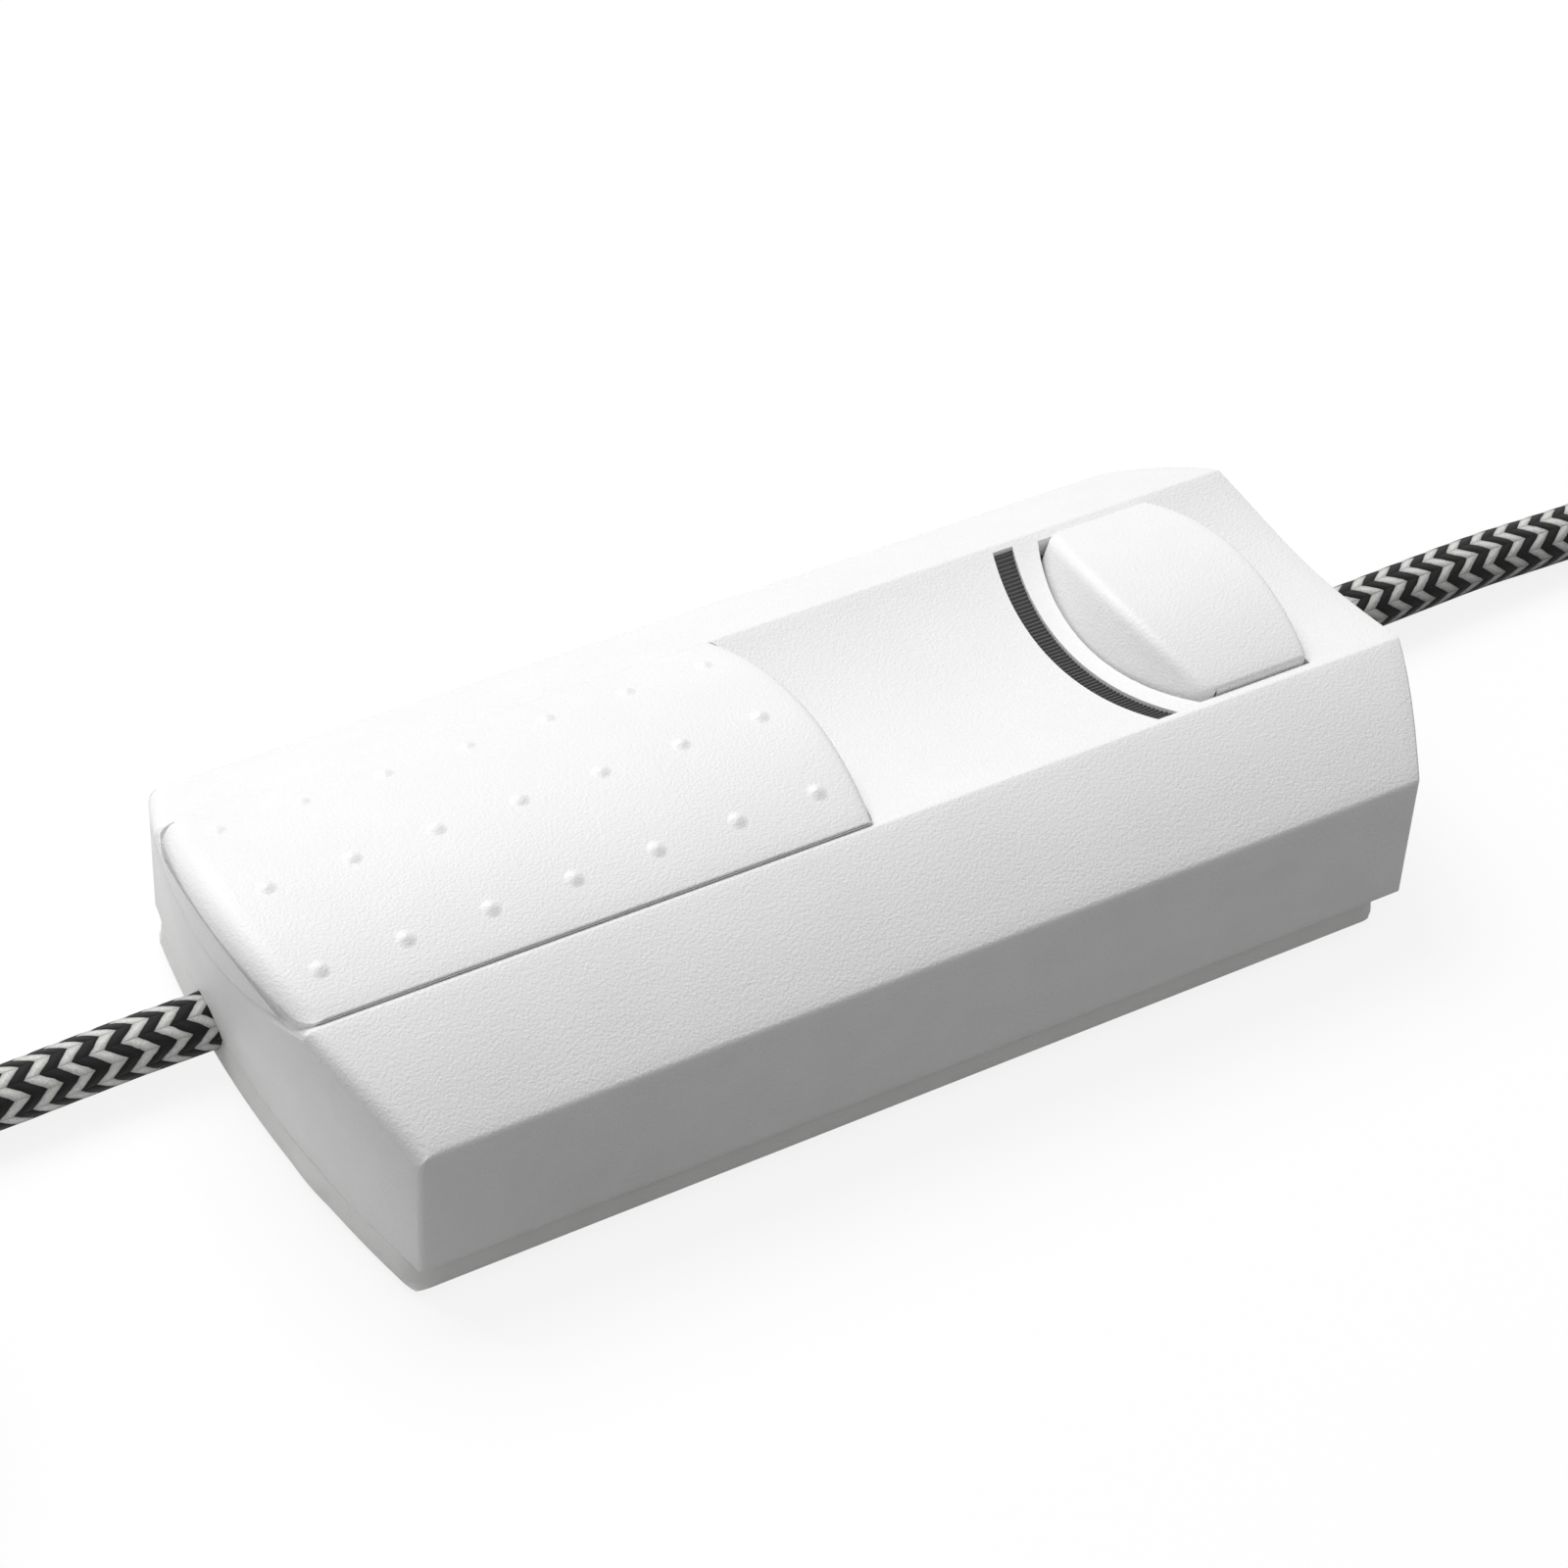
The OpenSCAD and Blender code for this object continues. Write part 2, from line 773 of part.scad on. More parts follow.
module pot_body() {
    color("silver")
    difference() {
        mid_block(track_x, 0, board_top, [pot_l, pot_w, pot_h]);
        mid_block(track_x, 0, board_top + 1,
            [pot_l - 2 * pot_wall, pot_w - 2 * pot_wall, pot_h - 1 - pot_wall]);
        mid_block(track_x, 0, board_top + 2,
            [slider_travel + lever_x + 1, lever_y + 0.5, pot_h]);
    }
}

track_t = 0.4;
module pot_track() {
    color([0.35, 0.22, 0.12])
    mid_block(track_x, 0, board_top + 1, [slider_travel + 8, 5, track_t]);
}

module pot_wiper() {
    wiper_z = board_top + 1 + track_t + 0.1;
    color([0.9, 0.85, 0.7])
    union() {
        mid_block(stem_x, 0, wiper_z, [lever_x + 2, pot_w - 2 * pot_wall - 0.4, 3]);
        mid_block(stem_x, 0, wiper_z, [lever_x, lever_y, lever_top - wiper_z]);
    }
}

module push_button() {
    post_top = crown_z - button_roof;
    color("white")
    difference() {
        union() {
            intersection() {
                translate([0, 0, flange_z]) linear_extrude(20) button_plan(0);
                crown(button_hw, button_edge_z, 0);
                union() {
                    translate([button_x0 + button_foot_r, 0, 0])
                        cylinder(h = panel_z - dish_depth, r = button_foot_r, $fn = 180);
                    translate([button_x0 + button_foot_r, 0, panel_z - dish_depth])
                        cylinder(h = crown_z - panel_z + dish_depth, r1 = button_foot_r,
                            r2 = button_foot_r - button_rake, $fn = 180);
                }
            }
            translate([0, 0, flange_z]) linear_extrude(flange_t) button_plan(flange_w);
        }
        difference() {
            intersection() {
                translate([0, 0, flange_z - cut]) linear_extrude(20) button_plan(-button_wall);
                crown(button_hw, button_edge_z, -button_roof);
                translate([button_x0 + button_foot_r, 0, 0])
                    cylinder(h = crown_z, r = button_foot_r - button_wall - button_rake,
                        $fn = 180);
            }
            translate([button_mid, 0, plunger_top]) cylinder(h = post_top, r = 2.2);
        }
    }
}

spring_z0 = switch_top;
spring_z1 = crown_z - button_roof;
module button_spring() {
    free = spring_z1 - spring_z0 - spring_wire - 0.2;
    steps = spring_turns * spring_rings;
    path = [
        for (i = [0 : steps])
            let (a = 360 * i / spring_rings)
            [
                button_mid + spring_r * cos(a),
                spring_r * sin(a),
                spring_z0 + 0.1 + spring_wire / 2 + free * i / steps
            ]
    ];
    color("silver") tube(path, spring_wire / 2, form_sides);
}

module switch_body() {
    color([0.15, 0.15, 0.16])
    difference() {
        mid_block(button_mid, 0, board_top, [switch_w, switch_w, switch_h]);
        translate([button_mid, 0, plunger_top - plunger_len - button_travel - seat_gap])
            cylinder(h = 20, r = plunger_r + fit);
    }
}

module switch_plunger() {
    color([0.85, 0.85, 0.8])
    translate([button_mid, 0, plunger_top - plunger_len])
        cylinder(h = plunger_len, r = plunger_r);
}

lens_foot = ceiling_z - 1.5;
module indicator_lens() {
    color([0.25, 0.25, 0.26])
    difference() {
        union() {
            translate([0, 0, lens_foot]) linear_extrude(10) slot_plan(-fit);
            difference() {
                translate([0, 0, lens_foot]) linear_extrude(10) slot_plan(1);
                dish(wall);
            }
        }
        dish(lens_sunk);
    }
}

lamp_x = slot_x0 + slot_w / 2;
lamp_r = 2;
lamp_l = 10;
lamp_z = lens_foot - lamp_r - seat_gap;
module pilot_lamp() {
    color([1, 0.6, 0.3])
    union() {
        translate([lamp_x, -lamp_l / 2, lamp_z])
            rotate([-90, 0, 0]) cylinder(h = lamp_l, r = lamp_r, $fn = 32);
        for (s = [-1, 1])
            wire([
                [lamp_x, s * (lamp_l / 2 - 0.5), lamp_z],
                [lamp_x, s * (lamp_l / 2 + 1.5), lamp_z],
                [lamp_x, s * (lamp_l / 2 + 1.5), board_top],
            ], 0.35);
    }
}

module circuit_board() {
    color([0.35, 0.45, 0.2])
    difference() {
        mid_block(0, 0, board_z, [board_l, board_w, board_t]);
        for (sx = [-1, 1]) {
            for (sy = [-1, 1])
                mid_block(sx * board_l / 2, sy * board_w / 2, 0,
                    [board_corner.x, board_corner.y, body_l]);
            mid_block(sx * (board_notch_x + board_l / 2), terminal_y, 0,
                [board_l, terminal_w + 1, body_l]);
        }
        at_board_posts() cylinder(h = 20, r = small_screw_r + fit);
    }
}

module small_screw(z_seat, length) {
    head_t = 1.2;
    translate([0, 0, z_seat - length]) cylinder(h = length, r = small_screw_r);
    translate([0, 0, z_seat])
        difference() {
            cylinder(h = head_t, r = 2.1);
            mid_block(0, 0, head_t / 2, [5, 0.6, head_t]);
        }
}

board_screw_l = 6;
module board_screws() {
    color("silver") at_board_posts() small_screw(board_top, board_screw_l);
}

module terminal_blocks() {
    color([0.9, 0.9, 0.86])
    for (s = [-1, 1])
        difference() {
            mid_block(s * terminal_x, terminal_y, board_top,
                [terminal_l, terminal_w, terminal_h]);
            for (t = [-1, 1]) {
                along_x(s * terminal_x - terminal_l / 2 - cut, terminal_y + t * core_spread,
                    core_z) cylinder(h = terminal_l + 2 * cut, r = core_r + 0.2);
                translate([s * terminal_x, terminal_y + t * core_spread, core_z])
                    cylinder(h = 20, r = 1.6 + fit);
            }
        }
}

module terminal_screws() {
    color("silver")
    for (s = [-1, 1])
        for (t = [-1, 1])
            translate([s * terminal_x, terminal_y + t * core_spread, core_z + core_r])
                difference() {
                    cylinder(h = 2.8, r = 1.6);
                    mid_block(0, 0, 2, [5, 0.6, 2]);
                }
}

module cord_clamps() {
    color([0.9, 0.9, 0.86])
    for (s = [-1, 1])
        difference() {
            mid_block(s * clamp_x, exit_y, clamp_z,
                [clamp_l, 2 * (clamp_pitch + pillar_r), clamp_t]);
            for (t = [-1, 1])
                translate([s * clamp_x, exit_y + t * clamp_pitch, 0])
                    cylinder(h = 20, r = small_screw_r + fit);
        }
}

module clamp_screws() {
    color("silver") at_clamps() small_screw(clamp_z + clamp_t, 6);
}

// Heat sink along the near side with the triac lying against it
sink_x = 16;
sink_y = -18.5;
sink_l = 24;
sink_t = 1.5;
sink_h = 10;
triac_z = board_top + 1.2;
triac_tab_x = sink_x + 4.5;
triac_hole_z = triac_z + 5;
module heat_sink() {
    color([0.7, 0.72, 0.75])
    difference() {
        union() {
            mid_block(sink_x, sink_y + sink_t / 2, board_top, [sink_l, sink_t, sink_h]);
            mid_block(sink_x, sink_y - 1.2, board_top, [sink_l, 4, sink_t]);
        }
        translate([triac_tab_x, sink_y - cut, triac_hole_z])
            rotate([-90, 0, 0]) cylinder(h = 10, r = small_screw_r + fit);
    }
}

module triac() {
    face = sink_y + sink_t;
    body_x = triac_tab_x - 12.5;
    color([0.12, 0.12, 0.13])
    difference() {
        union() {
            block(body_x, face, triac_z, [9.3, 4.4, 10]);
            block(body_x, face, triac_z, [15.5, 1.3, 10]);
            for (i = [-1 : 1])
                wire([
                    [body_x + 0.4, face + 2.4, triac_z + 5 + i * 2.5],
                    [body_x - 2 - i * 1.2, face + 2.4, triac_z + 5 + i * 2.5],
                    [body_x - 2 - i * 1.2, face + 2.4, board_top],
                ], 0.4);
        }
        translate([triac_tab_x, face - cut, triac_hole_z])
            rotate([-90, 0, 0]) cylinder(h = 10, r = small_screw_r + fit);
    }
}

module triac_screw() {
    face = sink_y + sink_t + 1.3;
    color("silver")
    union() {
        translate([triac_tab_x, face, triac_hole_z])
            rotate([-90, 0, 0]) cylinder(h = 1.4, r = 2.4);
        translate([triac_tab_x, sink_y - 2.4, triac_hole_z])
            rotate([-90, 0, 0]) cylinder(h = 2.4 + sink_t + 1.3 + 0.2, r = small_screw_r);
        translate([triac_tab_x, sink_y - 2, triac_hole_z])
            rotate([-90, 0, 0]) cylinder(h = 2, r = 2.4, $fn = 6);
    }
}

// Suppression choke: ring core inside a sleeve of windings
choke_x = 20;
choke_y = 13.5;
choke_mid_r = 5.8;
choke_z = board_top + 4;
core_half = 2;
winding_t = 1;
module choke_core() {
    color([0.3, 0.32, 0.3])
    translate([choke_x, choke_y, choke_z])
        rotate_extrude() translate([choke_mid_r, 0]) square(2 * core_half, center = true);
}

module choke_winding() {
    inner = 2 * core_half + 2 * fit;
    outer = inner + 2 * winding_t;
    color([0.75, 0.4, 0.2])
    translate([choke_x, choke_y, choke_z])
        rotate([0, 0, 20])
            rotate_extrude(angle = 320)
                translate([choke_mid_r, 0])
                    difference() {
                        square(outer, center = true);
                        square(inner, center = true);
                    }
}

large_cap = [18, 7.5, 10];
large_cap_y = 12.2;
small_cap = [13, 5, 9];
small_cap_y = 13;
cap_gap = 3.5;
large_cap_x = terminal_l / 2 - terminal_x + cap_gap + large_cap.x / 2;
small_cap_x = large_cap_x + large_cap.x / 2 + cap_gap + small_cap.x / 2;
module film_capacitors() {
    color([0.75, 0.2, 0.15])
    union() {
        mid_block(large_cap_x, large_cap_y, board_top, large_cap);
        mid_block(small_cap_x, small_cap_y, board_top, small_cap);
    }
}

resistor_x = -6.5;
resistor_y = -10;
resistor_pitch = 4;
resistor_l = 6;
module resistors() {
    color([0.75, 0.65, 0.5])
    for (i = [0 : 2]) {
        y = resistor_y - i * resistor_pitch;
        z = board_top + 1.6;
        along_x(resistor_x - resistor_l / 2, y, z)
            cylinder(h = resistor_l, r = 1.2, $fn = 32);
        for (s = [-1, 1])
            wire([
                [resistor_x + s * (resistor_l / 2 - 0.5), y, z],
                [resistor_x + s * (resistor_l / 2 + 2), y, z],
                [resistor_x + s * (resistor_l / 2 + 2), y, board_top],
            ], 0.3);
    }
}

fuse_x = -27;
fuse_y = -13;
fuse_z = board_top + 4;
fuse_l = 20;
fuse_r = 2.6;
module fuse_tube() {
    color([0.8, 0.85, 0.85])
    along_x(fuse_x - fuse_l / 2, fuse_y, fuse_z) cylinder(h = fuse_l, r = fuse_r);
}

module fuse_clips() {
    color([0.8, 0.75, 0.5])
    for (s = [-1, 1])
        difference() {
            mid_block(fuse_x + s * 7.5, fuse_y, board_top, [4, 7, 6]);
            along_x(fuse_x - fuse_l, fuse_y, fuse_z)
                cylinder(h = 2 * fuse_l, r = fuse_r + fit);
            mid_block(fuse_x + s * 7.5, fuse_y, fuse_z, [5, 3.6, 6]);
        }
}

// Ends of the leads inside the housing
module lead_tails() {
    color([0.2, 0.2, 0.2])
    for (s = [-1, 1])
        translate([s * tail_end_x, exit_y, cord_z])
            rotate([0, s * 90, 0]) cylinder(h = exit_x - tail_end_x, r = cord_r);
}

module inner_core(s, t) {
    y0 = exit_y + t * core_gap;
    y1 = terminal_y + t * core_spread;
    tube([
        [s * tail_end_x, y0, cord_z],
        [s * (tail_end_x - 0.7), y0, cord_z],
        [s * (tail_end_x - 1.6), y0, cord_z + 0.8],
        [s * (tail_end_x - 2), (y0 + y1) / 2, cord_z + 3],
        [s * (tail_end_x - 2), y1, core_z - 2.6],
        [s * (tail_end_x - 2.5), y1, core_z - 0.9],
        [s * (tail_end_x - 3.6), y1, core_z],
        [s * (terminal_x + 1), y1, core_z],
    ], core_r, core_sides, [0, 1, 0]);
}

module brown_cores() {
    color([0.35, 0.18, 0.1]) for (s = [-1, 1]) inner_core(s, 1);
}

module blue_cores() {
    color([0.15, 0.3, 0.7]) for (s = [-1, 1]) inner_core(s, -1);
}

// Flat band round the waist of a hank
module hank_tie(x, half_run, layers) {
    slack = tie_fit + cord_r - waist * (1 - tie_w / 2 / half_run);
    y0 = hank_y - hank_r + strand_pitch / 2 - slack;
    y1 = hank_y + hank_r + slack;
    z1 = hank_z + (layers - 1) * layer_pitch + cord_r + tie_fit;
    translate([x - tie_w / 2, 0, 0])
        rotate([90, 0, 90])
            linear_extrude(tie_w)
                difference() {
                    translate([y0 - tie_t, 0])
                        square([y1 - y0 + 2 * tie_t, z1 + tie_t]);
                    translate([y0, tie_t]) square([y1 - y0, z1 - tie_t]);
                }
}

// Free lead of the mains side, its hank and its plug
module mains_lead() {
    color([0.2, 0.2, 0.2]) tube(smooth(mains_points, 2), cord_r, tube_sides);
}

module mains_hank() {
    color([0.2, 0.2, 0.2]) tube(mains_hank_path, cord_r, form_sides);
}

module mains_tie() {
    color([0.1, 0.1, 0.1])
        hank_tie(-mains_hank_x - mains_half_run, mains_half_run, mains_layers);
}

module plug_lead() {
    color([0.2, 0.2, 0.2]) tube(smooth(plug_lead_points, 2), cord_r, tube_sides);
}

pin_pitch = 18.6;
pin_r = 2;
sleeve_r = pin_r - 0.3;
pin_core_r = sleeve_r - 0.5;
pin_out = 19;
sleeve_l = 10;
pin_root = 8;
plug_w = 32;
module plug_body() {
    neck_w = 12;
    color("white")
    translate([plug_x, plug_y, 0])
        difference() {
            linear_extrude(plug_t)
                polygon([
                    [0, -neck_w / 2], [0, neck_w / 2], [-10, neck_w / 2 + 1],
                    [-20, plug_w / 2], [-plug_l, plug_w / 2],
                    [-plug_l, -plug_w / 2], [-20, -plug_w / 2], [-10, -neck_w / 2 - 1],
                ]);
            for (s = [-1, 1])
                translate([-plug_l + pin_root, s * pin_pitch / 2, plug_t / 2])
                    rotate([0, -90, 0]) cylinder(h = 10, r = sleeve_r + fit);
        }
}

module at_pins() {
    for (s = [-1, 1])
        translate([plug_x - plug_l, plug_y + s * pin_pitch / 2, plug_z])
            rotate([0, -90, 0]) children();
}

module plug_sleeves() {
    color([0.9, 0.9, 0.88])
    at_pins() difference() {
        translate([0, 0, -pin_root]) cylinder(h = pin_root + sleeve_l, r = sleeve_r);
        translate([0, 0, -pin_root - cut])
            cylinder(h = pin_root + sleeve_l + 2 * cut, r = pin_core_r);
    }
}

module plug_pins() {
    color("silver")
    at_pins() union() {
        translate([0, 0, -pin_root])
            cylinder(h = pin_root + sleeve_l + cut, r = pin_core_r - fit);
        translate([0, 0, sleeve_l]) cylinder(h = pin_out - sleeve_l - pin_r, r = pin_r);
        translate([0, 0, pin_out - pin_r]) sphere(r = pin_r);
    }
}

// Free lead of the lamp side, its hank and its bared cores
module lamp_lead() {
    color([0.2, 0.2, 0.2]) tube(smooth(lamp_points, 2), cord_r, tube_sides);
}

module lamp_hank() {
    color([0.2, 0.2, 0.2]) tube(lamp_hank_path, cord_r, form_sides);
}

module lamp_tie() {
    color([0.1, 0.1, 0.1])
        hank_tie(lamp_hank_x + lamp_half_run, lamp_half_run, lamp_layers);
}

function core_run(t) = [
    [bared_x, run_y + t * core_gap, lamp_top_z],
    [bared_x + 2, run_y + t * core_gap, lamp_top_z],
    [bared_x + 6, run_y + t * core_gap, lamp_top_z - 1.5],
    [bared_x + 10, run_y + t * core_gap, 5.6],
    [bared_x + 14, run_y + t * core_gap, 2.6],
    [bared_x + 18, run_y + t * core_gap, core_r + 0.1],
    [bared_x + 20, run_y + t * core_gap, core_r + 0.1],
];
module lamp_cores() {
    color([0.35, 0.18, 0.1])
    for (t = [-1, 1]) tube(core_run(t), core_r, core_sides);
}

ferrule_l = 7;
module core_ferrules() {
    color("silver")
    for (t = [-1, 1]) {
        p = last(core_run(t));
        along_x(p.x, p.y, p.z) cylinder(h = ferrule_l, r = 0.8 * core_r);
    }
}

upper_shell();
base_plate();
rubber_feet();
housing_screws();
slider_plate();
slider_carrier();
pot_body();
pot_track();
pot_wiper();
push_button();
button_spring();
switch_body();
switch_plunger();
indicator_lens();
pilot_lamp();
circuit_board();
board_screws();
terminal_blocks();
terminal_screws();
cord_clamps();
clamp_screws();
triac();
triac_screw();
heat_sink();
choke_core();
choke_winding();
film_capacitors();
resistors();
fuse_tube();
fuse_clips();
lead_tails();
brown_cores();
blue_cores();
mains_lead();
mains_hank();
mains_tie();
plug_lead();
plug_body();
plug_sleeves();
plug_pins();
lamp_lead();
lamp_hank();
lamp_tie();
lamp_cores();
core_ferrules();
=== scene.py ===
import json
import math

import bmesh
import bpy
from mathutils import Matrix, Vector


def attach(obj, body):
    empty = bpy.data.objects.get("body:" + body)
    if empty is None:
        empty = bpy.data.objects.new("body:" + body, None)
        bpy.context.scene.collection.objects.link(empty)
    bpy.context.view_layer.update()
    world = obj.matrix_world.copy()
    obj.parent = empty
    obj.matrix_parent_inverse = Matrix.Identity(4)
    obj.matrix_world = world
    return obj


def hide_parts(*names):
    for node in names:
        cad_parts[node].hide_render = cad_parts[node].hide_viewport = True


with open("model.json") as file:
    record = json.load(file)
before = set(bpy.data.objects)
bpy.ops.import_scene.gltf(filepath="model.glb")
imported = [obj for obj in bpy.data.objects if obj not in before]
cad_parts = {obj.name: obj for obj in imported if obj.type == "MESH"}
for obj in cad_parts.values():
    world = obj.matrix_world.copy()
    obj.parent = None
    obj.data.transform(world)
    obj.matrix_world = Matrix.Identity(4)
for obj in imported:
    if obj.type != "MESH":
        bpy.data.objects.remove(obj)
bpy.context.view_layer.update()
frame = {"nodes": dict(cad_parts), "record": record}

MM = 0.001

# Sizes in millimetres. Most are the solids' own. The button's length, the slot, the
# height of the slider's long edges and the base's lamp end follow the photograph closer.
BODY_L, BODY_W = 128, 58
SIDE_TOP_Z, PANEL_Z, PANEL_W, DISH_DEPTH = 19, 26.3, 32, 2.6
END_R, LOW_END_R, WALL = 60, 150, 2
FOOT_PROUD, BASE_H = 1, 3.2
SLIDER_L, SLIDER_W, SLIDER_INSET, SLIDER_NOSE_R, TRAVEL = 64.4, 31.2, 0.5, 88, 28
SLIDER_WALL, SLIDER_ROOF, STEM_HALF_L, STEM_HALF_W = 2, 1.6, 3, 3.7
CROWN_Z, SLIDER_EDGE_Z, BUTTON_EDGE_Z = 29.6, 26.65, 26.7
DOME_PITCH, DOME_ROW, DOME_H, DOME_R, DOME_COUNT = 8.88, 10.9, 0.35, 1.15, 7
DOME_START, DOME_SUNK, DOME_RINGS, DOME_SIDES = 6.1, 0.012, 7, 24
BUTTON_L, BUTTON_W, BUTTON_GAP, BUTTON_RAKE = 18, 29.1, 0.3, 1.6
BUTTON_FOOT_R, BUTTON_LAMP_R, BUTTON_WALL, BUTTON_ROOF = 33, 70, 1.6, 1.8
BUTTON_POST_R, BUTTON_POST_Z, FLANGE_OUT, FLANGE_IN, FLANGE_T = 2.2, 19.3, 1.2, 0.8, 1.4
SLOT_W, SLOT_R, SLOT_HALF = 2.3, 47, 15.2
CORD_D, EXIT_Y = 6, 10.8
HALF_W, HALF_PANEL, HALF_L = BODY_W / 2, PANEL_W / 2, BODY_L / 2
PART_Z = FOOT_PROUD + BASE_H
CORD_Z = PART_Z + 0.2
DISH_R = (HALF_PANEL ** 2 + DISH_DEPTH ** 2) / (2 * DISH_DEPTH)
DISH_AXIS = PANEL_Z - DISH_DEPTH + DISH_R
CEILING_Z = PANEL_Z - DISH_DEPTH - WALL
CORNER_X = HALF_L - (END_R - math.sqrt(END_R ** 2 - HALF_W ** 2))
BUTTON_X1 = HALF_L - 10.7
BUTTON_X0 = BUTTON_X1 - BUTTON_L
SLOT_X0 = BUTTON_X0 - 4.7
FLANGE_Z = CEILING_Z - 1.8
SLIDER_X0 = -HALF_L + SLIDER_INSET
STEM_X = SLIDER_X0 + SLIDER_L / 2
POST_X, POST_Y, POST_R, POST_FOOT = 45, 21.5, 3.4, 5.4
SCREW_R, SCREW_HEAD_R, RECESS_Z = 1.45, 2.7, 3.1
BOARD_POST_X, BOARD_POST_Y, BOARD_POST_R, BOARD_Z = 31, 19, 2.5, 8.2
CLAMP_X, CLAMP_PITCH, PILLAR_R, CLAMP_Z = 51, 5.4, 2.1, CORD_Z + CORD_D / 2
FOOT_X, FOOT_Y, FOOT_R = 36, 20, 4.5
BASE_HW, BASE_LAMP_INSET, MOUTH_LAMP_INSET, BASE_FLARE = HALF_W - 0.5, 2, 3.1, 0.3
BASE_CORNER, BASE_LAMP_EASE, BASE_LOW_EASE, BASE_TOP_EASE = 2.8, 1.1, 0.45, 0.12
RIM_T, FLOOR_TOP = 2.2, FOOT_PROUD + 1.6
BORE_PLAY, SCREW_PLAY, SEAT_PLAY, SEAT_DEPTH = 0.06, 0.2, 0.05, 0.6
LEDGE_Y, LEDGE_HALF, LEDGE_OUT, LEDGE_H = -11.3, 3.5, 0.6, 1.1
LEDGE_TOP_SHARE, LEDGE_FOOT_H, LEDGE_MARGIN = 0.15, 1.5, 0.4
# How far a cutter reaches past what it cuts
PAST_END, ABOVE, ABOVE_FLANGE, BELOW = 4, 5, 3, 1
# Spacing of the points along curved outlines and of the grid lines across crowned tops
STEP, FINE_STEP, ROW_STEP = 2, 0.8, 0.9


def arc_x(y, r):
    """Distance of the curved end from the middle of the housing."""
    return CORNER_X + math.sqrt(r * r - y * y) - math.sqrt(r * r - HALF_W ** 2)


def dish_z(y):
    """Height of the hollowed panel."""
    return DISH_AXIS - math.sqrt(DISH_R ** 2 - y * y)


def crown_z(y, half, edge_z):
    """Height of a crowned top that falls to edge_z at half its width."""
    rise = CROWN_Z - edge_z
    r = (half ** 2 + rise ** 2) / (2 * rise)
    return CROWN_Z - r + math.sqrt(r * r - y * y)


# Camera: eye and axes of the photograph's view
EYE = Vector((-189.714, -288.810, 314.749)) * MM
RIGHT = Vector((0.85717574, -0.51291097, 0.04660576))
UP = Vector((0.30372633, 0.57651179, 0.75854101))
BACK = Vector((-0.41593277, -0.63604755, 0.64995649))
LENS, SENSOR, CLIP = 104.932, 36, 0.01


def add_camera():
    data = bpy.data.cameras.new("camera")
    data.sensor_width = SENSOR
    data.lens = LENS
    data.clip_start = CLIP
    cam = bpy.data.objects.new("camera", data)
    bpy.context.scene.collection.objects.link(cam)
    turn = Matrix((RIGHT, UP, BACK)).transposed().to_4x4()
    cam.matrix_world = Matrix.Translation(EYE) @ turn
    bpy.context.scene.camera = cam


# Node materials

class Nodes:
    """Short way to add and join shader nodes."""

    def __init__(self, tree):
        self.tree = tree

    def add(self, kind, inputs=None, **settings):
        node = self.tree.nodes.new(kind)
        for key, value in settings.items():
            setattr(node, key, value)
        for key, value in (inputs or {}).items():
            self.put(value, node.inputs[key])
        return node

    def put(self, value, socket):
        if isinstance(value, bpy.types.NodeSocket):
            self.tree.links.new(value, socket)
        else:
            socket.default_value = value

    def math(self, operation, a, b=0.0, c=0.0, clamp=False):
        node = self.add("ShaderNodeMath", {0: a, 1: b, 2: c}, operation=operation)
        node.use_clamp = clamp
        return node.outputs[0]

    def place(self):
        return self.add("ShaderNodeTexCoord").outputs["Object"]

    def noise(self, size, detail=2.0, rough=0.5):
        """Noise whose lumps are about size metres across."""
        node = self.add(
            "ShaderNodeTexNoise",
            {"Vector": self.place(), "Scale": 1 / size, "Detail": detail, "Roughness": rough},
        )
        return node.outputs["Fac"]

    def ramp(self, value, low, high, from_min=0.3, from_max=0.7):
        node = self.add(
            "ShaderNodeMapRange",
            {"Value": value, "From Min": from_min, "From Max": from_max, "To Min": low, "To Max": high},
        )
        return node.outputs["Result"]

    def blend(self, factor, a, b):
        node = self.add("ShaderNodeMix", data_type="RGBA")
        self.put(factor, node.inputs[0])
        self.put(a, node.inputs[6])
        self.put(b, node.inputs[7])
        return node.outputs[2]

    def bump(self, height, depth, strength=1.0, normal=None):
        node = self.add(
            "ShaderNodeBump", {"Height": height, "Distance": depth, "Strength": strength}
        )
        if normal is not None:
            self.put(normal, node.inputs["Normal"])
        return node.outputs["Normal"]


class MaterialNodes(Nodes):
    """Nodes of a new material."""

    def __init__(self, name):
        self.mat = bpy.data.materials.new(name)
        self.mat.use_nodes = True
        super().__init__(self.mat.node_tree)
        self.shader = self.tree.nodes["Principled BSDF"]
        self.out = self.tree.nodes["Material Output"]

    def fix(self, **values):
        """Constants of the shader, named as its inputs with _ for each space."""
        for key, value in values.items():
            self.put(value, self.shader.inputs[key.replace("_", " ")])


def rgba(colour, factor=1.0):
    return tuple(min(1.0, c * factor) for c in colour[:3]) + (1.0,)


CLOUD, SMUDGE = 12 * MM, 4 * MM
COLOUR_SPREAD, ROUGH_SPREAD, GRAIN_STRENGTH = 0.04, 0.05, 0.6


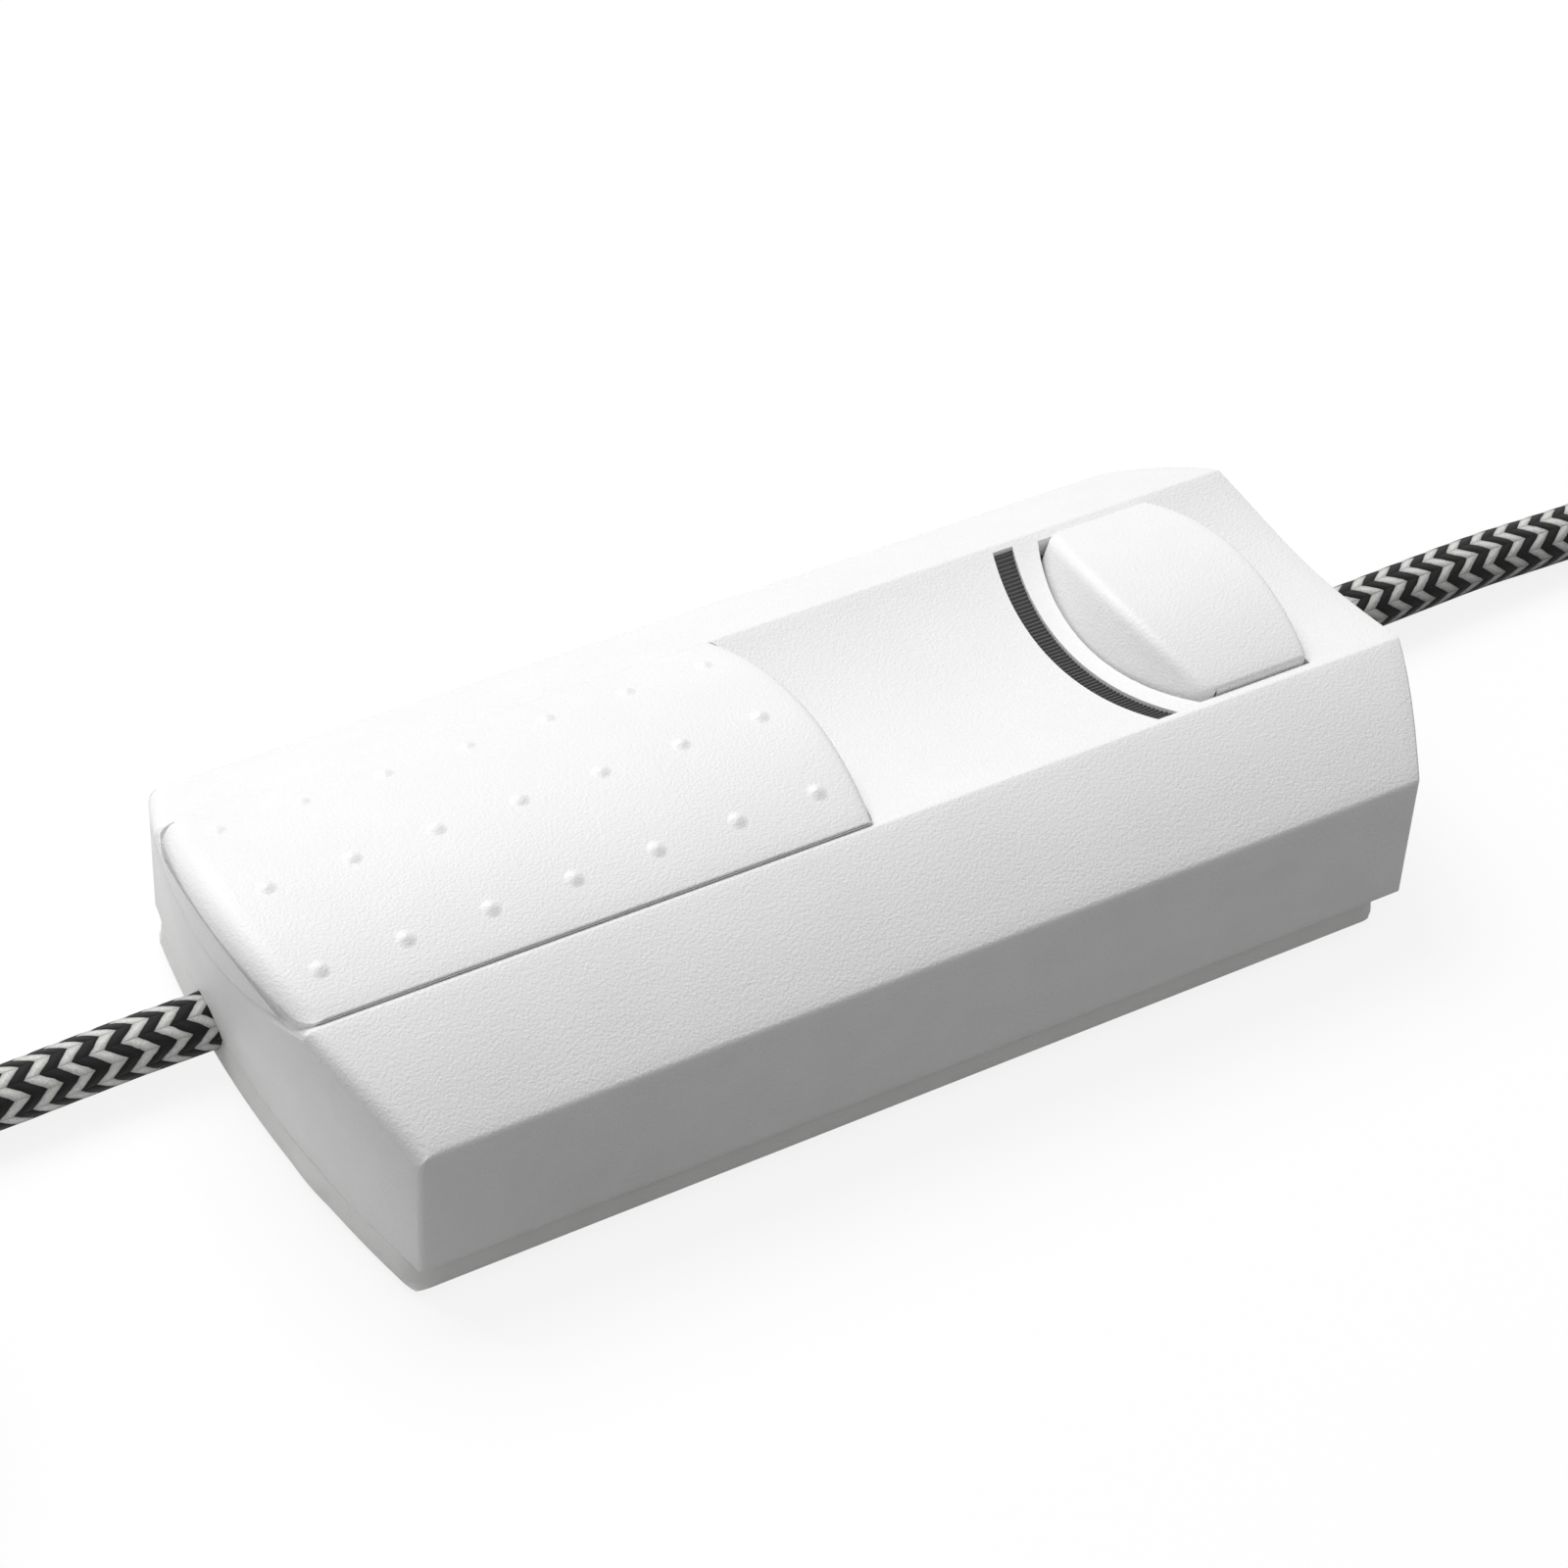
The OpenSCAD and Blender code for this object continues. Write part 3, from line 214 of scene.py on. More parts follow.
def surface(name, colour, rough, grain=0.0, grain_size=0.4, edge=0.0, metal=0.0):
    """Moulded or metal surface: slow colour and roughness variation, grain, eased edges.
    The grain's depth and size and the radius of the edges are in millimetres."""
    n = MaterialNodes(name)
    slow = n.noise(CLOUD, detail=3.0)
    base = n.blend(slow, rgba(colour, 1 - COLOUR_SPREAD), rgba(colour, 1 + COLOUR_SPREAD / 2))
    n.put(base, n.shader.inputs["Base Color"])
    smudge = n.ramp(n.noise(SMUDGE), rough - ROUGH_SPREAD, rough + ROUGH_SPREAD)
    n.put(smudge, n.shader.inputs["Roughness"])
    normal = None
    if edge:
        normal = n.add("ShaderNodeBevel", {"Radius": edge * MM}, samples=4).outputs["Normal"]
    if grain:
        normal = n.bump(n.noise(grain_size * MM), grain * MM, GRAIN_STRENGTH, normal)
    if normal is not None:
        n.put(normal, n.shader.inputs["Normal"])
    n.fix(Metallic=metal)
    return n.mat


# The braid's zigzags: length of one repeat, how many go round, how far an arm leans,
# how uneven they lie and where in the repeat the white yarn has its middle and its edge
BRAID_PITCH = 3.4 * MM
BRAID_ROUND = 6
BRAID_SLOPE = 0.57
BRAID_WOBBLE, BRAID_WOBBLE_SIZE = 0.16, 1.6 * MM
WHITE_MIDDLE, WHITE_EDGE = 0.52, (0.25, 0.28)
YARNS, YARN_H, FLUFF_SIZE, BRAID_DEPTH = 13, 0.12, 0.25 * MM, 0.22 * MM
YARN_WHITE = (0.74, 0.735, 0.715)
YARN_BLACK = (0.011, 0.011, 0.012)
# Painted shade: the share of each yarn's colour left in the grooves between yarns and at the folds
GROOVE_SHADE = 0.3


def braid_material():
    """Black and off white yarn in zigzags round the lead. The UV map holds the
    distance along the lead in metres and the share of the way round it."""
    n = MaterialNodes("textile_braid")
    uv = n.add("ShaderNodeSeparateXYZ", {0: n.add("ShaderNodeUVMap").outputs["UV"]})
    fold = n.math("PINGPONG", n.math("MULTIPLY", uv.outputs["Y"], 2 * BRAID_ROUND), 1.0)
    along = n.math("DIVIDE", uv.outputs["X"], BRAID_PITCH)
    wobble = n.math("MULTIPLY_ADD", n.noise(BRAID_WOBBLE_SIZE), BRAID_WOBBLE, -BRAID_WOBBLE / 2)
    phase = n.math("ADD", n.math("MULTIPLY_ADD", fold, BRAID_SLOPE, along), wobble)
    band = n.math("FRACT", phase)
    edge = n.math("PINGPONG", n.math("SUBTRACT", band, WHITE_MIDDLE - 0.5), 0.5)
    white = n.ramp(edge, 0.0, 1.0, *WHITE_EDGE)
    strand = n.math("PINGPONG", n.math("MULTIPLY_ADD", phase, 4.0, 1 - 4 * WHITE_MIDDLE), 1.0)
    yarn = n.math("PINGPONG", n.math("MULTIPLY", phase, 2 * YARNS), 1.0)
    turn = n.math("PINGPONG", n.math("MULTIPLY", uv.outputs["Y"], 4 * BRAID_ROUND), 1.0)
    hump = n.math("MULTIPLY", n.math("POWER", strand, 0.5), n.math("POWER", turn, 0.25))
    height = n.math("MULTIPLY_ADD", yarn, YARN_H, hump)
    # Painted shade: the colour follows the yarn's height, darkest in the grooves and at the arm folds
    shade = n.ramp(height, 0.25, 1.0, 0.0, 0.9)
    fluff = n.ramp(n.noise(FLUFF_SIZE, detail=3.0), 0.72, 1.1)
    tone = n.math("MULTIPLY", shade, fluff)
    # Both yarns get painted shade in their grooves, and the black is lighter than its own colour on the
    # crests as a painted highlight
    light = n.blend(tone, rgba(YARN_WHITE, GROOVE_SHADE), rgba(YARN_WHITE))
    dark = n.blend(tone, rgba(YARN_BLACK, GROOVE_SHADE), rgba(YARN_BLACK, 1.6))
    n.put(n.blend(white, dark, light), n.shader.inputs["Base Color"])
    n.put(n.bump(height, BRAID_DEPTH, 0.9), n.shader.inputs["Normal"])
    n.fix(Roughness=0.85, Sheen_Weight=0.15, Sheen_Roughness=0.5, Specular_IOR_Level=0.25)
    return n.mat


def glass_material(name, colour):
    """Clear glass, faintly uneven in colour and polish."""
    n = MaterialNodes(name)
    n.put(n.blend(n.noise(SMUDGE), rgba(colour, 0.92), rgba(colour)), n.shader.inputs["Base Color"])
    n.put(n.ramp(n.noise(SMUDGE / 2), 0.04, 0.1), n.shader.inputs["Roughness"])
    n.fix(Transmission_Weight=0.9, IOR=1.5)
    return n.mat


def wound_material(name, colour, pitch):
    """Turns of enamelled wire round a ring core, drawn as bands across the X axis of the object's space.
    """
    n = MaterialNodes(name)
    n.put(n.blend(n.noise(3 * MM), rgba(colour, 0.8), rgba(colour, 1.1)), n.shader.inputs["Base Color"])
    wave = n.add(
        "ShaderNodeTexWave",
        {"Vector": n.place(), "Scale": 1 / (20 * pitch), "Distortion": 0.3},
        wave_type="BANDS",
    )
    n.put(n.bump(wave.outputs["Fac"], pitch / 3, 0.8), n.shader.inputs["Normal"])
    n.fix(Roughness=0.28, Coat_Weight=0.6)
    return n.mat


SURFACES = {
    "white_case": dict(colour=(0.85, 0.85, 0.848), rough=0.5, grain=0.13, grain_size=0.3),
    "white_base": dict(colour=(0.8, 0.8, 0.785), rough=0.5, grain=0.13, grain_size=0.3),
    "white_plug": dict(colour=(0.82, 0.82, 0.81), rough=0.38, grain=0.03, edge=1.2),
    "grey_nylon": dict(colour=(0.52, 0.52, 0.5), rough=0.45, grain=0.03, edge=0.2),
    "ivory_plastic": dict(colour=(0.72, 0.69, 0.58), rough=0.4, grain=0.03, edge=0.3),
    "black_plastic": dict(colour=(0.02, 0.02, 0.022), rough=0.42, grain=0.04, edge=0.3),
    "red_plastic": dict(colour=(0.45, 0.05, 0.035), rough=0.25, grain=0.02, edge=0.5),
    "smoked_lens": dict(colour=(0.075, 0.075, 0.078), rough=0.42, grain=0.02),
    "rubber": dict(colour=(0.025, 0.025, 0.027), rough=0.8, grain=0.06, edge=0.3),
    "board_green": dict(colour=(0.035, 0.13, 0.045), rough=0.35, grain=0.02, grain_size=1),
    "resistive_track": dict(colour=(0.03, 0.02, 0.015), rough=0.6, grain=0.02),
    "tan_ceramic": dict(colour=(0.5, 0.36, 0.2), rough=0.5, grain=0.03, edge=0.3),
    "ferrite": dict(colour=(0.05, 0.055, 0.05), rough=0.75, grain=0.05, edge=0.3),
    "zinc_steel": dict(colour=(0.58, 0.59, 0.6), rough=0.35, grain=0.02, edge=0.2, metal=1.0),
    "spring_steel": dict(colour=(0.5, 0.5, 0.52), rough=0.3, grain=0.01, metal=1.0),
    "aluminium": dict(colour=(0.72, 0.73, 0.75), rough=0.4, grain=0.03, edge=0.2, metal=1.0),
    "brass": dict(colour=(0.7, 0.52, 0.2), rough=0.28, grain=0.01, edge=0.2, metal=1.0),
    "tinned_copper": dict(colour=(0.65, 0.64, 0.62), rough=0.35, grain=0.02, metal=1.0),
    "brown_insulation": dict(colour=(0.13, 0.05, 0.02), rough=0.4, grain=0.02),
    "blue_insulation": dict(colour=(0.03, 0.1, 0.4), rough=0.4, grain=0.02),
}
materials = {name: surface(name, **look) for name, look in SURFACES.items()}
materials["enamelled_copper"] = wound_material("enamelled_copper", (0.55, 0.2, 0.06), 0.8 * MM)
materials["neon_glass"] = glass_material("neon_glass", (0.95, 0.55, 0.3))
materials["clear_glass"] = glass_material("clear_glass", (0.92, 0.95, 0.95))
materials["textile_braid"] = braid_material()


# Meshes

BEVEL_SEGMENTS, DISC_SIDES = 4, 48
HOLLOW_ROWS = [v / 8 for v in range(-8, 9)]
# Faces that meet at less than this many degrees are shaded smooth
SHELL_SMOOTH, BASE_SMOOTH, TOP_SMOOTH, TUBE_SMOOTH = 24, 30, 28, 60


def new_object(name, mesh, body, slot):
    obj = bpy.data.objects.new(name, mesh)
    bpy.context.scene.collection.objects.link(obj)
    obj.data.materials.clear()
    obj.data.materials.append(materials[slot])
    if body:
        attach(obj, body)
    return obj


def smooth_by_angle(mesh, degrees):
    mesh.shade_smooth()
    mesh.set_sharp_from_angle(angle=math.radians(degrees))


def steps(start, end, pitch):
    """Evenly spaced values from start to end, both included, about pitch apart."""
    count = max(1, round(abs(end - start) / pitch))
    return [start + (end - start) * i / count for i in range(count + 1)]


def centred(values):
    """The values, their negatives and 0 between them."""
    return [-v for v in reversed(values)] + [0] + values


def quarters(x, y):
    """The same place in each quarter of the plan."""
    return [(sx * x, sy * y) for sx in (-1, 1) for sy in (-1, 1)]


def sharp(a, b):
    """Easing of a block that has none."""
    return 0


def block(name, us, vs, ws, place, easing=sharp):
    """Closed block over the grid us x vs x ws. place(u, v, w) gives a point in
    millimetres, and easing(a, b) the radius of the edge between two grid corners."""
    nu, nv, nw = len(us) - 1, len(vs) - 1, len(ws) - 1
    bm = bmesh.new()
    weight = bm.edges.layers.float.new("bevel_weight_edge")
    verts = {}

    def vert(i, j, k):
        if (i, j, k) not in verts:
            verts[i, j, k] = bm.verts.new([c * MM for c in place(us[i], vs[j], ws[k])])
        return verts[i, j, k]

    def quad(*corners):
        bm.faces.new([vert(*c) for c in corners])

    for i in range(nu):
        for j in range(nv):
            quad((i, j, 0), (i, j + 1, 0), (i + 1, j + 1, 0), (i + 1, j, 0))
            quad((i, j, nw), (i + 1, j, nw), (i + 1, j + 1, nw), (i, j + 1, nw))
    for i in range(nu):
        for k in range(nw):
            quad((i, 0, k), (i + 1, 0, k), (i + 1, 0, k + 1), (i, 0, k + 1))
            quad((i, nv, k), (i, nv, k + 1), (i + 1, nv, k + 1), (i + 1, nv, k))
    for j in range(nv):
        for k in range(nw):
            quad((0, j, k), (0, j, k + 1), (0, j + 1, k + 1), (0, j + 1, k))
            quad((nu, j, k), (nu, j + 1, k), (nu, j + 1, k + 1), (nu, j, k + 1))
    where = {v: key for key, v in verts.items()}
    radii = {}
    for e in bm.edges:
        (i, j, k), (i2, j2, k2) = where[e.verts[0]], where[e.verts[1]]
        a = (us[i], vs[j], ws[k])
        b = (us[i2], vs[j2], ws[k2])
        r = easing(a, b)
        if r:
            radii[e] = r
    if radii:
        widest = max(radii.values())
        for e, r in radii.items():
            e[weight] = r / widest
    mesh = bpy.data.meshes.new(name)
    bm.to_mesh(mesh)
    bm.free()
    if not radii:
        return mesh
    return modified(
        mesh, "BEVEL", limit_method="WEIGHT", width=widest * MM, segments=BEVEL_SEGMENTS,
        use_clamp_overlap=False, miter_outer="MITER_ARC", profile=0.5,
    )


def modified(mesh, kind, **settings):
    """The mesh with one modifier applied."""
    obj = bpy.data.objects.new("working", mesh)
    bpy.context.scene.collection.objects.link(obj)
    mod = obj.modifiers.new("change", kind)
    for key, value in settings.items():
        setattr(mod, key, value)
    bpy.context.view_layer.update()
    result = bpy.data.meshes.new_from_object(
        obj.evaluated_get(bpy.context.evaluated_depsgraph_get())
    )
    result.name = mesh.name
    bpy.data.objects.remove(obj)
    return result


def cut(mesh, *cutters, operation="DIFFERENCE"):
    """The mesh less each cutter mesh, or with UNION joined with each."""
    for cutter in cutters:
        tool = bpy.data.objects.new("cutter", cutter)
        bpy.context.scene.collection.objects.link(tool)
        mesh = modified(mesh, "BOOLEAN", operation=operation, object=tool, solver="EXACT")
        bpy.data.objects.remove(tool)
    return mesh


def prism(name, outline, z0, z1):
    """Upright solid over a plan outline, all in millimetres."""
    bm = bmesh.new()
    low = [bm.verts.new((x * MM, y * MM, z0 * MM)) for x, y in outline]
    high = [bm.verts.new((x * MM, y * MM, z1 * MM)) for x, y in outline]
    n = len(outline)
    bm.faces.new(low[::-1])
    bm.faces.new(high)
    for i in range(n):
        after = (i + 1) % n
        bm.faces.new((low[i], low[after], high[after], high[i]))
    bmesh.ops.recalc_face_normals(bm, faces=bm.faces)
    mesh = bpy.data.meshes.new(name)
    bm.to_mesh(mesh)
    bm.free()
    return mesh


def disc(cx, cy, r):
    turns = [2 * math.pi * i / DISC_SIDES for i in range(DISC_SIDES)]
    return [(cx + r * math.cos(t), cy + r * math.sin(t)) for t in turns]


def joined(name, meshes):
    """One mesh of several."""
    bm = bmesh.new()
    for m in meshes:
        bm.from_mesh(m)
    mesh = bpy.data.meshes.new(name)
    bm.to_mesh(mesh)
    bm.free()
    return mesh


def on_edge(a, b, axis, *values):
    """True if both grid corners lie at one of these values of that axis."""
    return a[axis] == b[axis] and a[axis] in values


# Leads

def way(points, i):
    """Direction of the route at point i. Its first and last runs stay straight."""
    n = len(points) - 1
    if i < 2:
        return (points[1] - points[0]).normalized()
    if i > n - 2:
        return (points[n] - points[n - 1]).normalized()
    return (points[i + 1] - points[i - 1]).normalized()


def smooth(points, count):
    """The same curve through the route's points as the solids follow."""
    path = []
    for i in range(len(points) - 1):
        b, c = points[i], points[i + 1]
        m0 = way(points, i) * (c - b).length
        m1 = way(points, i + 1) * (c - b).length
        for s in range(count):
            t = s / count
            path.append(
                (2 * t ** 3 - 3 * t ** 2 + 1) * b + (t ** 3 - 2 * t ** 2 + t) * m0
                + (3 * t ** 2 - 2 * t ** 3) * c + (t ** 3 - t ** 2) * m1
            )
    path.append(points[-1])
    return path


# Each lead's unseen length is a hank: loops between two end folds, in layers
TIE_T, TIE_FIT, WAIST = 0.8, 0.1, 2
LAYER_PITCH, STRAND_PITCH = CORD_D + 0.5, CORD_D + 0.7
HANK_Y, HANK_R, HANK_Z = -1.5, 27.5, TIE_T + TIE_FIT + CORD_D / 2
RUN_Y = HANK_Y + HANK_R
FOLD, RUN = 10, 2
LOOP = 2 * (FOLD + RUN)
FINE = 4


def clamped(value):
    return min(max(value, 0), 1)


def eased(value):
    t = clamped(value)
    return t * t * (3 - 2 * t)


def hank_point(side, near_x, half_run, layers, k):
    """Point at step k of a hank. Step 0 is the middle of the run that the lead comes in on."""
    loop, m = divmod(k, LOOP)
    half, back = RUN / 2, RUN / 2 + FOLD
    first, second = clamped((m - half) / FOLD), clamped((m - back - RUN) / FOLD)
    layer, share = divmod(loop + (first + second) / 2, 1)
    r = HANK_R - STRAND_PITCH * (share if layer % 2 == 0 else 1 - share)
    if m <= half or m >= LOOP - half:
        out = (m if m <= half else m - LOOP) / half
    elif back < m < back + RUN:
        out = 1 - (m - back) / half
    else:
        out = 1 if m <= back else -1
    a = math.pi * (first + second)
    y = (r - WAIST * (1 + math.cos(math.pi * out)) / 2) * math.cos(a)
    climb = sum(eased((k - LOOP * j) / RUN + 0.5) for j in range(1, layers))
    return Vector((
        side * (near_x + half_run + half_run * out + r * math.sin(a)),
        HANK_Y + y, HANK_Z + LAYER_PITCH * climb,
    ))


def hank(side, near_x, half_run, layers):
    first, count = -RUN / 2, (layers * LOOP + RUN) * FINE
    return [
        hank_point(side, near_x, half_run, layers, first + i / FINE) for i in range(count + 1)
    ]


def tube(name, path, radius, sides):
    """Tube along a path in metres, with the length along it and the share of the way
    round as its UVs. It also gives the length."""
    mesh = bpy.data.meshes.new(name)
    verts, faces, uvs = [], [], []
    lengths = [0.0]
    for a, b in zip(path, path[1:]):
        lengths.append(lengths[-1] + (b - a).length)
    for i, p in enumerate(path):
        ahead = path[min(i + 1, len(path) - 1)] - path[max(i - 1, 0)]
        ahead.normalize()
        side = Vector((0, 0, 1)).cross(ahead).normalized()
        up = ahead.cross(side)
        for k in range(sides):
            t = 2 * math.pi * k / sides
            verts.append(p + radius * (math.cos(t) * side + math.sin(t) * up))
    for i in range(len(path) - 1):
        for k in range(sides):
            a, b = i * sides + k, i * sides + (k + 1) % sides
            faces.append((a, b, b + sides, a + sides))
            u0, u1, v0, v1 = lengths[i], lengths[i + 1], k / sides, (k + 1) / sides
            uvs += [(u0, v0), (u0, v1), (u1, v1), (u1, v0)]
    last = (len(path) - 1) * sides
    rings = [range(sides)[::-1], range(last, last + sides)]
    for ring, length in zip(rings, (lengths[0], lengths[-1])):
        faces.append(tuple(ring))
        uvs += [(length, (v % sides) / sides) for v in ring]
    mesh.from_pydata(verts, [], faces)
    layer = mesh.uv_layers.new(name="UVMap")
    for loop, uv in zip(layer.data, uvs):
        loop.uv = uv
    smooth_by_angle(mesh, TUBE_SMOOTH)
    return mesh, lengths[-1]


EXIT_X = arc_x(EXIT_Y, LOW_END_R) + 0.6
TAIL_END_X = 48.6
MAINS_HANK_X, MAINS_HALF_RUN, MAINS_LAYERS = 130.5, 14, 4
LAMP_HANK_X, LAMP_HALF_RUN, LAMP_LAYERS = 160, 8, 2
MAINS_FAR_X = MAINS_HANK_X + 2 * MAINS_HALF_RUN
LAMP_FAR_X = LAMP_HANK_X + 2 * LAMP_HALF_RUN
MAINS_TOP_Z = HANK_Z + (MAINS_LAYERS - 1) * LAYER_PITCH
LAMP_TOP_Z = HANK_Z + (LAMP_LAYERS - 1) * LAYER_PITCH
PLUG_X, PLUG_Y, PLUG_Z = -MAINS_FAR_X - 54, 13, 6.8
MAINS_POINTS = [
    (-EXIT_X, EXIT_Y, CORD_Z), (-66, EXIT_Y, CORD_Z), (-74, EXIT_Y, 4.2), (-83, EXIT_Y, 4),
    (-89.5, 11.6, 4), (-96, 13.9, HANK_Z), (-102.5, 18.4, HANK_Z), (-109, 22.9, HANK_Z),
    (-115.5, 25.2, HANK_Z), (-122, RUN_Y, HANK_Z), (CORD_D - MAINS_HANK_X, RUN_Y, HANK_Z),
]
PLUG_POINTS = [
    (-MAINS_FAR_X - CORD_D, RUN_Y, MAINS_TOP_Z), (-MAINS_FAR_X - 8.5, RUN_Y, MAINS_TOP_Z),
    (-MAINS_FAR_X - 14, 25.7, MAINS_TOP_Z - 0.4), (-MAINS_FAR_X - 19.5, 24.6, MAINS_TOP_Z - 1.8),
    (-MAINS_FAR_X - 25, 22.7, MAINS_TOP_Z - 4.2), (-MAINS_FAR_X - 30.5, 19.5, PLUG_Z + 8.3),
    (-MAINS_FAR_X - 36, 16.3, PLUG_Z + 4.2), (-MAINS_FAR_X - 41.5, 14.4, PLUG_Z + 1.8),
    (-MAINS_FAR_X - 47, 13.3, PLUG_Z + 0.4), (-MAINS_FAR_X - 52.5, PLUG_Y, PLUG_Z),
    (PLUG_X, PLUG_Y, PLUG_Z),
]
LAMP_POINTS = [
    (EXIT_X, EXIT_Y, CORD_Z), (68, EXIT_Y, CORD_Z), (78, 11, CORD_Z), (88, 11.4, 4.3),
    (98, 11.8, 4.1), (106, 11.9, 3.7), (112.5, 12.1, 3.4), (119, 12.9, 3.3),
    (125.5, 15.1, 3.3), (132, 18.8, 3.5), (138.5, 22.7, 3.7), (145, 25.2, 3.8),
    (151.5, RUN_Y, HANK_Z),
    (LAMP_HANK_X - CORD_D, RUN_Y, HANK_Z),
]
LAMP_END_POINTS = [(LAMP_FAR_X + CORD_D, RUN_Y, LAMP_TOP_Z)]
LEAD_STEPS = 8
LEAD_SIDES = 32


def lead(name, points, hank_path, end_points, nodes):
    """One whole lead: out of the housing, round its hank and on to its end."""
    route = smooth([Vector(p) for p in points], LEAD_STEPS) + hank_path
    route += smooth([Vector(p) for p in end_points], LEAD_STEPS)
    path = [p * MM for p in route]
    mesh, length = tube(name, path, CORD_D / 2 * MM, LEAD_SIDES)
    obj = new_object(name, mesh, "housing", "textile_braid")
    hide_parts(*nodes)


def cord_bores():
    """Cutters for the two holes that the leads go through."""
    bores = []
    for s in (-1, 1):
        path = [Vector((s * x, EXIT_Y, CORD_Z)) * MM for x in (HALF_L + PAST_END, TAIL_END_X)]
        bores.append(tube("bore", path, (CORD_D / 2 + BORE_PLAY) * MM, DISC_SIDES)[0])
    return bores


def add_leads():
    lead(
        "mains_cord", MAINS_POINTS, hank(-1, MAINS_HANK_X, MAINS_HALF_RUN, MAINS_LAYERS),
        PLUG_POINTS, ["mains_lead", "mains_hank", "plug_lead"],
    )
    lead(
        "lamp_cord", LAMP_POINTS, hank(1, LAMP_HANK_X, LAMP_HALF_RUN, LAMP_LAYERS),
        LAMP_END_POINTS, ["lamp_lead", "lamp_hank"],
    )
    tails = []
    for s in (-1, 1):
        path = [Vector((s * x, EXIT_Y, CORD_Z)) * MM for x in steps(EXIT_X, TAIL_END_X, STEP)]
        mesh = tube("tail", path, CORD_D / 2 * MM, LEAD_SIDES)[0]
        for loop in mesh.uv_layers[0].data:
            loop.uv.x = -loop.uv.x
            loop.uv.y = 0.5 - loop.uv.y
        tails.append(mesh)
    obj = new_object("braided_tails", joined("braided_tails", tails), "housing", "textile_braid")
    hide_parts("lead_tails")


# Housing

SHOULDER_RISE, LAMP_END_POWER = 0.55, 2.6
END_EASE, LAMP_END_EASE, CORNER_EASE = 1.5, 0.3, 0.5
SIDE_EASE, PANEL_EASE, LOW_EASE = 0.4, 0.22, 0.2
CAVITY_Z, MOUTH_H, STEM_PLAY_L, STEM_PLAY_W = PART_Z + 1.6, 2.2, 0.2, 0.3


def shell_top(y):
    """Height of the shell's outside across the housing."""
    if abs(y) <= HALF_PANEL:
        return dish_z(y)
    share = (HALF_W - abs(y)) / (HALF_W - HALF_PANEL)
    swell = 4 * SHOULDER_RISE * share * (1 - share)
    return SIDE_TOP_Z + share * (PANEL_Z - SIDE_TOP_Z) + swell


def end_x(side, y, z):
    """Distance of the end's ruled face from the middle at height z. The lamp end
    turns its corners tighter than the mains end."""
    t = (z - PART_Z) / (PANEL_Z - PART_Z)
    high = arc_x(y, END_R)
    if side > 0:
        high = CORNER_X + (HALF_L - CORNER_X) * (1 - (abs(y) / HALF_W) ** LAMP_END_POWER)
    return (1 - t) * arc_x(y, LOW_END_R) + t * high


def shell_place(u, y, w):
    z = PART_Z + w * (shell_top(y) - PART_Z)
    return (u * end_x(u, y, z), y, z)


def shell_easing(a, b):
    if on_edge(a, b, 2, 1) and on_edge(a, b, 0, -1, 1):
        return END_EASE if a[0] < 0 else LAMP_END_EASE
    if on_edge(a, b, 0, -1, 1) and on_edge(a, b, 1, -HALF_W, HALF_W):
        return CORNER_EASE
    if on_edge(a, b, 2, 1) and on_edge(a, b, 1, -HALF_W, HALF_W):
        return SIDE_EASE
    if on_edge(a, b, 2, 1) and on_edge(a, b, 1, -HALF_PANEL, HALF_PANEL):
        return PANEL_EASE
    if on_edge(a, b, 2, 0) and (on_edge(a, b, 0, -1, 1) or on_edge(a, b, 1, -HALF_W, HALF_W)):
        return LOW_EASE
    return 0


def cavity_place(u, y, w):
    tilt = math.atan((PANEL_Z - SIDE_TOP_Z) / (HALF_W - HALF_PANEL))
    under = shell_top(min(max(abs(y), HALF_PANEL), HALF_W)) - WALL / math.cos(tilt)
    dish = DISH_AXIS - math.sqrt((DISH_R + WALL) ** 2 - y * y)
    z = CAVITY_Z + w * (min(under, dish) - CAVITY_Z)
    return (u * (end_x(u, y, z) - WALL), y, z)


def base_outline(inset):
    """Inside of the base's rim, where the shell is open below."""
    rows = steps(-HALF_W + inset, HALF_W - inset, STEP)
    lamp = [(arc_x(y, LOW_END_R) - MOUTH_LAMP_INSET - inset + WALL, y) for y in rows]
    mains = [(-arc_x(y, LOW_END_R) + inset, y) for y in reversed(rows)]
    return lamp + mains


def slot_outline():
    """Curved band of the indicator slot."""
    cx = SLOT_X0 + SLOT_R
    rows = steps(-SLOT_HALF, SLOT_HALF, FINE_STEP)
    left = [(cx - math.sqrt(SLOT_R ** 2 - y * y), y) for y in rows]
    right = [(cx - math.sqrt((SLOT_R - SLOT_W) ** 2 - y * y), y) for y in reversed(rows)]
    return left + right


def button_left(y, inset, rake):
    """Mains side of the button's outline, moved by the rake towards the lamp end."""
    r = BUTTON_FOOT_R - inset - rake
    return BUTTON_X0 + BUTTON_FOOT_R - math.sqrt(r * r - y * y)


def button_right(y, inset):
    """Lamp side of the button's outline."""
    r = BUTTON_LAMP_R - inset
    return BUTTON_X1 - BUTTON_LAMP_R + math.sqrt(r * r - y * y)


def button_outline(inset):
    half = BUTTON_W / 2 - inset
    rows = steps(-half, half, FINE_STEP)
    left = [(button_left(y, inset, 0), y) for y in reversed(rows)]
    return [(button_right(y, inset), y) for y in rows] + left


def rectangle(cx, half_l, half_w):
    """Plan outline of a rectangle on the middle line."""
    return [
        (cx - half_l, -half_w), (cx + half_l, -half_w), (cx + half_l, half_w), (cx - half_l, half_w)
    ]


